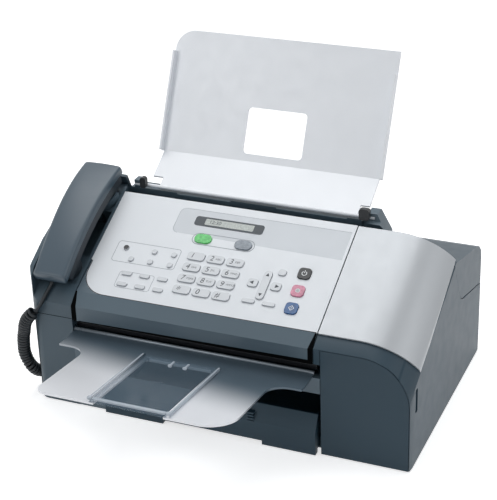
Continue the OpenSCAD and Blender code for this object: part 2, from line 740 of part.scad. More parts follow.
feed_w = bed_w + 1 - feed_r;
feed_places = [for (i = [0:3]) panel_left + panel_w * (i + 0.5) / 4];
glass_v = 48;
glass_x0 = panel_left + 10;
glass_x1 = seam_x - 10;
module scan_glass() color(clear) on_panel()
    block([glass_x0 + 0.2, glass_v + 0.2, bed_w - 1.5], [glass_x1 - 0.2, glass_v + 17.8, bed_w + 0.2]);
module feed_roller() color(rubber) on_panel() {
    rod(panel_left + 3, seam_x - 4, feed_v, feed_w, shaft_r);
    for (x = feed_places) rod(x - 10, x + 10, feed_v, feed_w, feed_r);
}

// ---------------------------------------------------------------- engine

rod_y = front_y + 100;
rod_z = 88;
pick_y = front_y + 170;
pick_z = 52;
module guide_rod() color(silver)
    rod(panel_left - seam - wall, column_inner_x + wall, rod_y, rod_z, rod_r);
module print_carriage() color(black) difference() {
    x1 = seam_x - 8;
    union() {
        block([x1 - 58, rod_y - 24, rod_z - 26], [x1, rod_y + 12, rod_z + 12]);
        block([x1 - 48, rod_y - 18, rod_z - 32], [x1 - 10, rod_y, rod_z - 25]);
    }
    rod(panel_left, seam_x, rod_y, rod_z, rod_r + running);
    block([x1 - 54, rod_y - 20, rod_z - 10], [x1 - 4, rod_y - 6, rod_z + 13]);
}
module pick_roller() color(rubber) {
    rod(panel_left - seam - wall, column_inner_x + wall, pick_y, pick_z, shaft_r);
    for (x = [cassette_x0 + 60, cassette_x1 - 60]) rod(x - 14, x + 14, pick_y, pick_z, pick_r);
}
module main_board() color("darkgreen") {
    board_y = back_y - 12;
    block([panel_left + 30, board_y, 20], [seam_x - 30, board_y + 1.6, 100]);
    for (x = [panel_left + 40, seam_x - 40], z = [28, 92])
        translate([x, board_y + 1.5, z]) rotate([-90, 0, 0]) cylinder(h = 12 - wall - 1.5, r = 3);
    for (x = [panel_left + 50, panel_left + 95, panel_left + 150])
        block([x, board_y - 6, 44], [x + 22, board_y + 0.1, 66]);
}

// --------------------------------------------------------------- cassette

cassette_x1 = seam_x + 2.5;
cassette_x0 = cassette_x1 - cassette_w;
cassette_z0 = base_top + 0.5;
cassette_lip = 4;
module paper_cassette() color(grey) difference() {
    union() {
        block([cassette_x0, front_y, cassette_z0], [cassette_x1, front_y + cassette_d, cassette_h - 8]);
        side_slab(cassette_x0, cassette_x1, [
            [front_y - cassette_lip, cassette_z0], [front_y - cassette_lip, 24],
            [front_y + 4, cassette_h], [front_y + 8, cassette_h], [front_y + 8, cassette_z0]
        ]);
        // ribbed latch tab
        for (z = [23:3:32]) block([seam_x - 63.5, front_y - cassette_lip - 0.6, z],
                                  [seam_x - 57, front_y + 4, z + 1.8]);
        // front skirt with a finger recess in the middle
        block([cassette_x0, front_y - cassette_lip, skirt_gap], [grip_x0, front_y + 2, cassette_z0 + 1]);
        block([grip_x1, front_y - cassette_lip, skirt_gap], [cassette_x1, front_y + 2, cassette_z0 + 1]);
    }
    block([cassette_x0 + 2, front_y + 6, cassette_z0 + 2],
          [cassette_x1 - 2, front_y + cassette_d - 3, cassette_h + 1]);
    block([cassette_x0 - 1, front_y + cassette_d - 40, cassette_h - 14],
          [cassette_x1 + 1, front_y + cassette_d + 1, cassette_h]);
}
grip_x0 = seam_x - 150;
grip_x1 = seam_x - 50;

// ----------------------------------------------------------- front tray

tray_x0 = panel_left + 0.5;
tray_x1 = seam_x - 0.5;
tray_flat = 18;
tray_rise = 0.132;
tray_tip = front_y - tray_reach + 1.5;
// Height of the tray's upper face
function tray_face(y) = tray_z + max(0, front_y - tray_flat - y) * tray_rise;
module tray_outline() {
    difference() {
        union() {
            translate([tray_x0, front_y - 28]) square([tray_x1 - tray_x0, 28 + 3]);
            translate([wing_x0, tray_tip]) square([wing_x1 - wing_x0, front_y - 20 - tray_tip]);
            translate([wing_x0 - neck_r, front_y - 28 - neck_r]) square([neck_r + 1, neck_r + 1]);
            translate([wing_x1 - 1, front_y - 28 - neck_r]) square([neck_r + 1, neck_r + 1]);
        }
        translate([wing_x0 - neck_r, front_y - 28 - neck_r]) circle(neck_r);
        translate([wing_x1 + neck_r, front_y - 28 - neck_r]) circle(neck_r);
        corner_nick(wing_x0, tray_tip, 12, 1, 1);
        corner_nick(wing_x1, tray_tip, 28, -1, 1);
        // window below the clear plate
        translate([extension_x0 + 5, tray_tip - 1]) square([extension_w - 10, tray_reach - 24]);
    }
}
neck_r = 18;
wing_x0 = seam_x - 209.5;
wing_x1 = seam_x - 28;
extension_x0 = seam_x - 154.5;
// Side outline of a plate along the tray from y0 forward to y1, between
// two heights over the tray's face
function along_tray(y0, y1, low, high) = let (bend = front_y - tray_flat) concat(
    [[y0, tray_face(y0) + high]], y0 > bend ? [[bend, tray_z + high]] : [],
    [[y1, tray_face(y1) + high], [y1, tray_face(y1) + low]],
    y0 > bend ? [[bend, tray_z + low]] : [], [[y0, tray_face(y0) + low]]
);
module document_tray() color(silver) {
    intersection() {
        translate([0, 0, tray_z - 20]) linear_extrude(80) tray_outline();
        side_slab(tray_x0 - 1, tray_x1 + 1, along_tray(front_y + 3, front_y - tray_reach, -tray_t, 0));
    }
    // rolled lip below the slot, with the pivot pins
    rod(tray_x0, tray_x1, tray_pin_y, tray_pin_z, lip_r);
    rod(panel_left - seam - wall, column_inner_x + wall, tray_pin_y, tray_pin_z, tray_pin_r);
    // rails of the clear plate
    for (x = [extension_x0 - 2, extension_x0 + extension_w])
        side_slab(x, x + 2, along_tray(front_y - 20, tray_tip + 1, -0.5, 3.4));
}
module tray_extension() color(clear)
    side_slab(extension_x0 + 0.3, extension_x0 + extension_w - 0.3,
              along_tray(front_y - 22, front_y - tray_reach, 0.3, 1.9));

// ---------------------------------------------------------- control panel

hinge_in = 3.4;
hinge_w = -face_t - 2.4;
pin_len = 5;
deck_t = 2;
module panel_outline() {
    r = face_corner_r;
    difference() {
        translate([panel_left + face_border, 0]) square([panel_w - face_border - seam, panel_len]);
        corner_nick(panel_left + face_border, 0, r, 1, 1);
    }
}
face_border = 1.2;
module panel_face() color(silver) on_panel() difference() {
    translate([0, 0, -face_t]) linear_extrude(face_t) panel_outline();
    key_holes(key_gap);
    display_hole(0);
}
module panel_frame() color(grey) {
    on_panel() difference() {
        translate([panel_left + seam, 0, 0]) rotate([90, 0, 90]) linear_extrude(panel_w - 2 * seam)
            polygon([
                to_panel(front_y, fascia_z), to_panel(front_y, band_z), [0, 0], [panel_len, 0],
                [panel_len, -panel_depth], [4, -panel_depth], to_panel(front_y + wall + 2, fascia_z)
            ]);
        // seat of the silver face
        translate([0, 0, -face_t]) linear_extrude(face_t + 1) panel_outline();
        // pocket for the key board and the keys
        block([panel_left + 4, 5, -panel_depth - 1], [seam_x - 4, panel_len - 8, -face_t - deck_t]);
        key_holes(key_gap);
        display_hole(0);
    }
    on_panel() {
        rod(panel_left - pin_len, panel_left + 3, panel_len - hinge_in, hinge_w, hinge_pin_r);
        rod(seam_x - 3, seam_x + pin_len, panel_len - hinge_in, hinge_w, hinge_pin_r);
    }
}
// Circuit board under the keys, with a dome under each
flange_t = 0.9;
board_w = -face_t - deck_t - flange_t - key_travel - 0.5;
module key_board() color("darkgreen") on_panel()
    block([panel_left + 4, 5, board_w - 1.6], [seam_x - 4, panel_len - 8, board_w]);

// Display window
display_x = seam_x - 121.5;
display_v = 101.2;
module display_hole(grow) {
    translate([display_x, display_v, -face_t - deck_t - 1]) rounded(70.4, 11.4, 3, 8);
}
module display_window() color(black) on_panel()
    translate([display_x, display_v, -face_t - deck_t]) rounded(70, 11, 2.8, face_t + deck_t + 0.3);

// Keys: a cap standing through the face and a flange below the deck
module key(x, v, w, h, r) {
    translate([seam_x + x, v, -face_t - deck_t - 0.1]) rounded(w, h, r, face_t + deck_t + 0.1 + key_rise);
    translate([seam_x + x, v, -face_t - deck_t - 0.1 - flange_t]) rounded(w + 1.6, h + 1.6, r, flange_t + 0.01);
}
// Rocker: pivots on a short flange at its middle
module rocker(x, v, w, h, r) {
    translate([seam_x + x, v, -face_t - deck_t - 0.1]) rounded(w, h, r, face_t + deck_t + 0.1 + key_rise);
    translate([seam_x + x, v, -face_t - deck_t - 0.4 - flange_t]) rounded(w + 1.6, 8, 1, flange_t + 0.2);
    translate([seam_x + x, v, -face_t - deck_t - 0.4 - flange_t]) rounded(w - 1, 8, 1, flange_t + 0.5);
}
module key_hole(x, v, w, h, r, gap) {
    translate([seam_x + x, v, -face_t - deck_t - 1])
        rounded(w + 2 * gap, h + 2 * gap, r + gap, face_t + deck_t + 2);
}
// Each key: [x from the seam, v, width, length, corner radius]
digit_x = -119.8;
digit_v = 20.6;
function digit(i) = [
    digit_x + digit_pitch_x * (i % 3 - 1), digit_v + digit_pitch_v * (3 - floor(i / 3)),
    digit_w, digit_h, 3
];
round_keys_at = [
    [-211, 57, round_d, round_d, round_d / 2 - 0.01], [-181.5, 57.2, round_d, round_d, round_d / 2 - 0.01],
    [-161.3, 57.2, round_d, round_d, round_d / 2 - 0.01], [-201.3, 45, round_d, round_d, round_d / 2 - 0.01],
    [-181.5, 45, round_d, round_d, round_d / 2 - 0.01], [-161.3, 45, round_d, round_d, round_d / 2 - 0.01]
];
function one_touch(i, v) = [-198.6 + 18.35 * i, v, 10, 4, 1.6];
fax_at = [-140.5, 80.8, mode_w, 10, 4.9];
copy_at = [-99.6, 80.6, mode_w, 10, 4.9];
menu_at = [-52.3, 57.2, 7.2, 6.6, 2.4];
nav_left_at = [-76, 41, 9.5, 8.5, 2.5];
nav_right_at = [-53.1, 40.8, 9.5, 8.5, 2.5];
rocker_at = [-64.6, 40.4, 7.6, 32, 3.6];
clear_at = [-73.4, 20.9, 12, 4, 1.6];
ok_at = [-53.5, 20.8, 12, 4, 1.6];
power_at = [-31.8, 60, command_size, command_size, 3.4];
stop_at = [-31.7, 40.2, command_size, command_size, 3.4];
start_at = [-31.4, 20.6, command_size, command_size, 3.4];
all_keys = concat(
    [for (i = [0:11]) digit(i)], round_keys_at, [for (i = [0:2], v = [28.2, 15.7]) one_touch(i, v)],
    [fax_at, copy_at, menu_at, nav_left_at, nav_right_at, rocker_at, clear_at, ok_at,
     power_at, stop_at, start_at]
);
module key_holes(gap) {
    for (k = all_keys) key_hole(k[0], k[1], k[2], k[3], k[4], gap);
}
module key_at(k, shade) color(shade) on_panel() key(k[0], k[1], k[2], k[3], k[4]);

base_pan();
left_housing();
right_housing();
rear_housing();
column_cover();
front_beam();
feet();
scan_bed();
scan_glass();
guide_rod();
main_board();
jack_block();
ink_cartridges();
panel_frame();
panel_face();
key_board();
display_window();
handset_shell();
handset_base();
cord_lead();
cord_coil();
cord_tail();
cord_plug();
document_tray();
tray_extension();
document_support();
guide_left();
guide_right();
ink_door();
paper_cassette();
hook_switch();
print_carriage();
pick_roller();
feed_roller();
key_at(digit(0), silver);  // key_1
key_at(digit(1), silver);  // key_2
key_at(digit(2), silver);  // key_3
key_at(digit(3), silver);  // key_4
key_at(digit(4), silver);  // key_5
key_at(digit(5), silver);  // key_6
key_at(digit(6), silver);  // key_7
key_at(digit(7), silver);  // key_8
key_at(digit(8), silver);  // key_9
key_at(digit(9), silver);  // key_star
key_at(digit(10), silver);  // key_0
key_at(digit(11), silver);  // key_hash
for (k = round_keys_at) key_at(k, silver);  // round_keys
for (i = [0:2]) key_at(one_touch(i, 28.2), silver);  // one_touch_upper
for (i = [0:2]) key_at(one_touch(i, 15.7), silver);  // one_touch_lower
key_at(fax_at, "limegreen");  // fax_key
key_at(copy_at, grey);  // copy_key
key_at(menu_at, silver);  // menu_key
key_at(nav_left_at, silver);  // nav_left
key_at(nav_right_at, silver);  // nav_right
color(silver) on_panel()  // nav_rocker
    rocker(rocker_at[0], rocker_at[1], rocker_at[2], rocker_at[3], rocker_at[4]);
key_at(clear_at, silver);  // clear_key
key_at(ok_at, silver);  // ok_key
key_at(power_at, black);  // power_key
key_at(stop_at, "pink");  // stop_key
key_at(start_at, "steelblue");  // start_key
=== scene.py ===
"""Looks of a desktop fax machine: cord, printed marks, materials, light and camera.

Metres, +Z up, the front faces -Y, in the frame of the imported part.
"""

import json
import math
from itertools import product

import bmesh
import bpy
from mathutils import Matrix, Vector


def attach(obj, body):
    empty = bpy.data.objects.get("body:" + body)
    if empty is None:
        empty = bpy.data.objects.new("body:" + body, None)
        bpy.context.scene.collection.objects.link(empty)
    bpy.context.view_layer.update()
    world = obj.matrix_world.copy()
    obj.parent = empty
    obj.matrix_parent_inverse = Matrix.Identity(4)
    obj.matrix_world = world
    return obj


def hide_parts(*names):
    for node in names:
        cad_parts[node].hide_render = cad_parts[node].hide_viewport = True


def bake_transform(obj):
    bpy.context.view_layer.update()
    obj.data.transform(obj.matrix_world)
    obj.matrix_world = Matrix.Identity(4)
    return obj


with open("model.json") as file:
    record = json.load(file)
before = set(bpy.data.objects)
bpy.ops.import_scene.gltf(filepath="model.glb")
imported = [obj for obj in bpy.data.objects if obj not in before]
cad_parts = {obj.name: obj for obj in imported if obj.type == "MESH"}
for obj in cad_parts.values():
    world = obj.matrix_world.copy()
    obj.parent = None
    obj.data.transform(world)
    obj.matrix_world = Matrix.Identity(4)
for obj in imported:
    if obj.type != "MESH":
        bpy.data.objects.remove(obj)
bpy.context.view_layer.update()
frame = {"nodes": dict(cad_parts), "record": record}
nodes = frame["nodes"]

MM = 0.001
# Driving places of the part, in millimetres
SEAM_X = 98  # seam between the control panel and the ink column
LEFT_X = -188  # left side of the casing
FRONT_Y = -51  # front face
PANEL_Y = FRONT_Y + 11.4  # front edge of the panel
PANEL_Z = 119
PANEL_TILT = math.radians(26.3)


def panel_matrix():
    """Panel frame: X from the seam, Y up the slope, Z out of the face."""
    c, s = math.cos(PANEL_TILT), math.sin(PANEL_TILT)
    return Matrix(
        (
            (1, 0, 0, SEAM_X * MM),
            (0, c, -s, PANEL_Y * MM),
            (0, s, c, PANEL_Z * MM),
            (0, 0, 0, 1),
        )
    )


PANEL = panel_matrix()


def on_panel(x, v, w=0.0):
    """Point in the row frame from panel coordinates in millimetres."""
    return PANEL @ Vector((x * MM, v * MM, w * MM))


# ---------------------------------------------------------------- camera

FOCAL_PX = 1508.54
FRAME_PX = 500
SENSOR = 36  # millimetres
AZIMUTH, ELEVATION, ROLL = (math.radians(a) for a in (23.630, 26.448, -2.033))
EYE = Vector((0.5061, -1.1163, 0.7749))


def make_camera():
    """Camera at the photograph's viewing angle, from its azimuth, elevation and roll."""
    back = Vector(
        (
            math.sin(AZIMUTH) * math.cos(ELEVATION),
            -math.cos(AZIMUTH) * math.cos(ELEVATION),
            math.sin(ELEVATION),
        )
    )
    right = Vector((math.cos(AZIMUTH), math.sin(AZIMUTH), 0))
    up = back.cross(right)
    c, s = math.cos(ROLL), math.sin(ROLL)
    turned_right, turned_up = c * right + s * up, c * up - s * right
    data = bpy.data.cameras.new("camera")
    data.sensor_width = SENSOR
    data.lens = SENSOR * FOCAL_PX / FRAME_PX
    data.clip_start, data.clip_end = 0.05, 20
    camera = bpy.data.objects.new("camera", data)
    camera.matrix_world = Matrix(
        [(*row, e) for row, e in zip(Matrix((turned_right, turned_up, back)).transposed(), EYE)]
        + [(0, 0, 0, 1)]
    )
    bpy.context.scene.collection.objects.link(camera)
    bpy.context.scene.camera = camera


# ------------------------------------------------------------ mesh helpers


def new_object(name, mesh, body, material):
    """New piece in the scene; body is what it moves with, or None."""
    obj = bpy.data.objects.new(name, mesh)
    bpy.context.scene.collection.objects.link(obj)
    mesh.materials.append(material)
    if body:
        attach(obj, body)
    return obj


def shade_smooth(mesh):
    mesh.polygons.foreach_set("use_smooth", [True] * len(mesh.polygons))


def mesh_from(name, points, faces, smooth=False):
    mesh = bpy.data.meshes.new(name)
    mesh.from_pydata([tuple(p) for p in points], [], faces)
    mesh.validate()
    mesh.update()
    if smooth:
        shade_smooth(mesh)
    return mesh


def smooth_curve(route, steps):
    """Catmull-Rom curve through a route, as in the part's source."""
    points = []
    last = len(route) - 1
    for i in range(last):
        a, b, c, d = (route[max(i - 1, 0)], route[i], route[i + 1], route[min(i + 2, last)])
        for k in range(steps):
            t = k / steps
            points.append(
                0.5
                * (
                    2 * b
                    + (c - a) * t
                    + (2 * a - 5 * b + 4 * c - d) * t * t
                    + (3 * b - a - 3 * c + d) * t**3
                )
            )
    return points + [route[-1]]


def evenly(points, count):
    """The same line with count points at equal distances."""
    lengths = [0.0]
    for a, b in zip(points, points[1:]):
        lengths.append(lengths[-1] + (b - a).length)
    result, j = [], 0
    for i in range(count):
        s = lengths[-1] * i / (count - 1)
        while j < len(points) - 2 and lengths[j + 1] < s:
            j += 1
        t = (s - lengths[j]) / max(lengths[j + 1] - lengths[j], 1e-12)
        result.append(points[j].lerp(points[j + 1], min(max(t, 0), 1)))
    return result


def carried_frames(points):
    """Two directions across the line at each point, carried along without twist."""
    frames = []
    normal = None
    for i, point in enumerate(points):
        ahead = points[min(i + 1, len(points) - 1)] - points[max(i - 1, 0)]
        ahead.normalize()
        if normal is None:
            normal = ahead.orthogonal().normalized()
        normal = (normal - ahead * normal.dot(ahead)).normalized()
        frames.append((normal.copy(), ahead.cross(normal)))
    return frames


def tube(name, points, radius, sides):
    """Round tube along points; radius is one number or one for each point."""
    radii = radius if isinstance(radius, list) else [radius] * len(points)
    vertices, faces = [], []
    for point, r, (n, b) in zip(points, radii, carried_frames(points)):
        for k in range(sides):
            a = 2 * math.pi * k / sides
            vertices.append(point + r * (math.cos(a) * n + math.sin(a) * b))
    for i, k in product(range(len(points) - 1), range(sides)):
        j, m = i * sides + k, i * sides + (k + 1) % sides
        faces.append((j, m, m + sides, j + sides))
    faces.append(tuple(reversed(range(sides))))
    faces.append(tuple((len(points) - 1) * sides + k for k in range(sides)))
    return mesh_from(name, vertices, faces, smooth=True)


def between(low, high, t):
    """Smooth change from 0 to 1 as t passes from low to high."""
    k = min(max((t - low) / (high - low), 0), 1)
    return k * k * (3 - 2 * k)


# ------------------------------------------------------------- curly cord

# The route from part.scad, in millimetres from the casing's left front corner
CORNER = Vector((LEFT_X, FRONT_Y, 0))
LEAD_ROUTE = [
    (21, 15.3, 128.1), (21, 12, 125.1), (20.6, 9.4, 121.6), (19, 5.5, 117.4),
    (17.5, 1.2, 112.8), (16, -3, 108), (14, -6, 104), (12, -7, 101),
]
COIL_ROUTE = [
    (12, -7, 101), (7, -7.6, 97), (1, -6.5, 90.5), (-4, -4, 82), (-8, 0, 73), (-11, 2, 64),
    (-13, 4, 55), (-14.5, 6, 46), (-14, 8, 37), (-11, 10, 28), (-9, 17, 19), (-8, 28, 13),
    (-8, 40, 11), (-8, 52, 13),
]
TAIL_ROUTE = [(-8, 52, 13), (-7, 58, 14), (-6, 63, 17), (-6, 64, 20), (-6, 64, 23.9)]
CORD_D = 2.8
SLEEVE = 0.35  # how much thicker the lead is than the coil's cord
COIL_D = 12.6
COIL_PITCH = 3.6
COIL_EASE = 5.0  # length over which the turns open to full size
TURN_STEPS = 16  # points in each turn of the coil
CORD_SIDES = 8


def placed(route, steps):
    return smooth_curve([(Vector(p) + CORNER) * MM for p in route], steps)


def length_of(points):
    return sum((b - a).length for a, b in zip(points, points[1:]))


def coil_line():
    """The cord's own centreline along the coil."""
    axis_line = placed(COIL_ROUTE, 12)
    length = length_of(axis_line)
    turns = round(length / (COIL_PITCH * MM))
    count = turns * TURN_STEPS + 1
    axis_line = evenly(axis_line, count)
    radius = (COIL_D - CORD_D) / 2 * MM
    line = []
    for i, (point, (n, b)) in enumerate(zip(axis_line, carried_frames(axis_line))):
        s = length * i / (count - 1)
        near_end = min(s, length - s) / (COIL_EASE * MM)
        open_up = math.sin(min(near_end, 1) * math.pi / 2) ** 2
        a = 2 * math.pi * i / TURN_STEPS
        line.append(point + radius * open_up * (math.cos(a) * n + math.sin(a) * b))
    return line


def make_cord(material):
    """One curly tube from the handset's end to the plug in the casing's left side."""
    lead = placed(LEAD_ROUTE, 3)[:-1]
    line = lead + coil_line() + placed(TAIL_ROUTE, 3)[1:]
    radii = [CORD_D / 2 * MM] * len(line)
    for i in range(len(lead)):  # the sleeve of the lead is thicker, and tapers into the coil
        radii[i] *= 1 + SLEEVE * (1 - between(0.6, 1, i / len(lead)))
    obj = new_object("curly_cord", tube("curly_cord", line, radii, CORD_SIDES), None, material)
    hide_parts("cord_lead", "cord_coil", "cord_tail")
    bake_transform(obj)


# --------------------------------------------------------------- materials


def linear(r, g, b):
    """Scene-linear colour of an sRGB colour given in 0 to 255."""

    def one(c):
        c /= 255
        return c / 12.92 if c <= 0.04045 else ((c + 0.055) / 1.055) ** 2.4

    return (one(r), one(g), one(b), 1.0)


class Surface:
    """A node material built up in small steps."""

    def __init__(self, name, rough, metallic=0.0, coat=0.0, coat_rough=0.1, specular=0.5):
        self.material = bpy.data.materials.new(name)
        self.material.use_nodes = True
        self.tree = self.material.node_tree
        self.shader = self.tree.nodes["Principled BSDF"]
        self.set("Metallic", metallic)
        self.set("Roughness", rough)
        self.set("Coat Weight", coat)
        self.set("Coat Roughness", coat_rough)
        self.set("Specular IOR Level", specular)
        self.place = self.node("ShaderNodeTexCoord").outputs["Object"]

    def set(self, socket, value):
        self.shader.inputs[socket].default_value = value

    def node(self, kind, **inputs):
        made = self.tree.nodes.new(kind)
        for name, value in inputs.items():
            made.inputs[name.replace("_", " ")].default_value = value
        return made

    def link(self, out, into):
        self.tree.links.new(out, into)

    def noise(self, scale, detail=2.0, rough=0.5):
        made = self.node("ShaderNodeTexNoise", Scale=scale, Detail=detail, Roughness=rough)
        self.link(self.place, made.inputs["Vector"])
        return made.outputs["Fac"]

    def spread(self, value, low, high):
        """Value's middle range of 0.3 to 0.7 laid over low to high."""
        made = self.node(
            "ShaderNodeMapRange", From_Min=0.3, From_Max=0.7, To_Min=low, To_Max=high
        )
        self.link(value, made.inputs["Value"])
        return made.outputs["Result"]

    def tint(self, value, dark, light):
        """Colour between two colours by value."""
        made = self.node("ShaderNodeValToRGB")
        made.color_ramp.elements[0].position = 0.3
        made.color_ramp.elements[0].color = dark
        made.color_ramp.elements[1].position = 0.7
        made.color_ramp.elements[1].color = light
        self.link(value, made.inputs["Fac"])
        return made.outputs["Color"]

    def colour_from(self, socket):
        self.link(socket, self.shader.inputs["Base Color"])

    def rough_from(self, socket):
        self.link(socket, self.shader.inputs["Roughness"])

    def bump(self, value, distance, strength=1.0):
        made = self.node("ShaderNodeBump", Strength=strength, Distance=distance)
        self.link(value, made.inputs["Height"])
        previous = self.shader.inputs["Normal"].links
        if previous:
            self.link(previous[0].from_socket, made.inputs["Normal"])
        self.link(made.outputs["Normal"], self.shader.inputs["Normal"])


def shade(colour, factor):
    return (*(min(c * factor, 1.0) for c in colour[:3]), 1.0)


def moulded(name, colour, rough, grain=0.000005, variation=0.04, **more):
    """Moulded plastic: spark-eroded grain, uneven gloss, slight colour drift."""
    s = Surface(name, rough, **more)
    drift = s.noise(9.0, 3.0)
    s.colour_from(s.tint(drift, shade(colour, 1 - variation), shade(colour, 1 + variation)))
    s.rough_from(s.spread(s.noise(70.0, 3.0), rough - 0.025, rough + 0.025))
    s.bump(s.noise(900.0, 2.0), grain, 0.3)
    return s.material


def painted(name, colour, rough, metallic, variation=0.03, **more):
    """Sprayed silver plastic: fine flakes under a satin lacquer."""
    s = Surface(name, rough, metallic=metallic, **more)
    flakes = s.noise(2600.0, 1.0)
    drift = s.noise(7.0, 2.0)
    mix = s.node("ShaderNodeMix")
    mix.data_type = "RGBA"
    mix.inputs["Factor"].default_value = 0.5
    dark, light = shade(colour, 1 - variation), shade(colour, 1 + variation)
    s.link(s.tint(flakes, dark, light), mix.inputs[6])
    s.link(s.tint(drift, dark, light), mix.inputs[7])
    s.colour_from(mix.outputs[2])
    s.rough_from(s.spread(s.noise(90.0, 3.0), rough - 0.04, rough + 0.04))
    s.bump(s.noise(1100.0, 2.0), 0.000004, 0.4)
    return s.material


SHADE_FADE = (30, 92)  # from here to here in front of the casing the painted shade on the tray fades out
SHADE_FADE_SLANT = 0.2  # the painted shade reaches further forward on the right side


def tray_painted_shade(name, rear, front):
    """Silver tray with the casing's shade and reflection painted in: dark at its rear, paling to
    silver towards its front.
    """
    s = Surface(name, 0.3, metallic=0.25)
    along = s.node("ShaderNodeVectorMath")
    along.operation = "DOT_PRODUCT"
    s.link(s.place, along.inputs[0])
    along.inputs[1].default_value = (SHADE_FADE_SLANT, 1.0, 0.0)
    shaded_y, pale = ((FRONT_Y - d) * MM for d in SHADE_FADE)
    shade_fading = s.node("ShaderNodeMapRange", From_Min=shaded_y, From_Max=pale)
    s.link(along.outputs["Value"], shade_fading.inputs["Value"])
    ramp = s.node("ShaderNodeValToRGB")
    ramp.color_ramp.interpolation = "EASE"
    ramp.color_ramp.elements[0].color = rear
    ramp.color_ramp.elements[1].color = front
    s.link(shade_fading.outputs["Result"], ramp.inputs["Fac"])
    s.colour_from(ramp.outputs["Color"])
    s.rough_from(s.spread(s.noise(40.0, 2.0), 0.29, 0.33))
    s.bump(s.noise(700.0, 1.0), 0.000003, 0.2)
    return s.material


def clear_plastic(name, colour, alpha, rough=0.08):
    """Clear sheet: mostly see-through, with gloss on top."""
    s = Surface(name, rough)
    drift = s.noise(14.0, 2.0)
    s.colour_from(s.tint(drift, shade(colour, 0.96), shade(colour, 1.04)))
    s.rough_from(s.spread(s.noise(120.0, 2.0), rough - 0.03, rough + 0.05))
    s.set("Alpha", alpha)
    s.set("IOR", 1.5)
    s.bump(s.noise(300.0, 2.0), 0.00001, 0.4)
    return s.material


def rubbery(name, colour, rough=0.55):
    s = Surface(name, rough, specular=0.4)
    s.colour_from(s.tint(s.noise(60.0, 3.0), shade(colour, 0.8), shade(colour, 1.3)))
    s.rough_from(s.spread(s.noise(400.0, 2.0), rough - 0.1, rough + 0.1))
    s.bump(s.noise(2200.0, 2.0), 0.00003, 0.6)
    return s.material


def steel(name):
    """Ground rod: fine rings across the axis."""
    s = Surface(name, 0.28, metallic=1.0)
    s.colour_from(s.tint(s.noise(30.0), linear(190, 192, 195), linear(214, 215, 218)))
    wave = s.node("ShaderNodeTexWave", Scale=900.0, Distortion=0.6)
    s.link(s.place, wave.inputs["Vector"])
    s.rough_from(s.spread(wave.outputs["Fac"], 0.22, 0.34))
    s.bump(wave.outputs["Fac"], 0.000004, 0.5)
    return s.material


def circuit_board(name):
    s = Surface(name, 0.35, coat=0.3)
    s.colour_from(s.tint(s.noise(260.0, 4.0, 0.7), linear(18, 74, 44), linear(30, 104, 62)))
    s.rough_from(s.spread(s.noise(500.0), 0.3, 0.5))
    s.bump(s.noise(420.0, 1.0), 0.00003, 0.7)
    return s.material


def lit_key(name, colour, glow):
    """Translucent key lit from inside, brighter in its middle patches."""
    s = Surface(name, 0.28, coat=0.12, specular=0.4)
    patches = s.noise(330.0, 1.0)
    body = s.tint(patches, shade(colour, 0.75), shade(colour, 1.15))
    s.colour_from(body)
    s.link(body, s.shader.inputs["Emission Color"])
    s.set("Emission Strength", glow)
    s.rough_from(s.spread(s.noise(200.0), 0.18, 0.3))
    s.bump(s.noise(900.0), 0.00001, 0.5)
    return s.material


def ink_print(name, colour):
    """Screen-printed ink, slightly uneven."""
    s = Surface(name, 0.5)
    s.colour_from(s.tint(s.noise(700.0, 2.0), shade(colour, 0.85), shade(colour, 1.15)))
    s.rough_from(s.spread(s.noise(300.0), 0.42, 0.58))
    s.bump(s.noise(1500.0), 0.000008, 0.5)
    return s.material


def liquid_crystal(name):
    """Dark glass of the display; its pale field is a printed patch above it."""
    s = Surface(name, 0.3, coat=0.1, coat_rough=0.1, specular=0.25)
    s.colour_from(s.tint(s.noise(20.0), linear(50, 60, 68), linear(58, 68, 76)))
    s.rough_from(s.spread(s.noise(240.0), 0.13, 0.2))
    s.bump(s.noise(1000.0), 0.000004, 0.4)
    return s.material


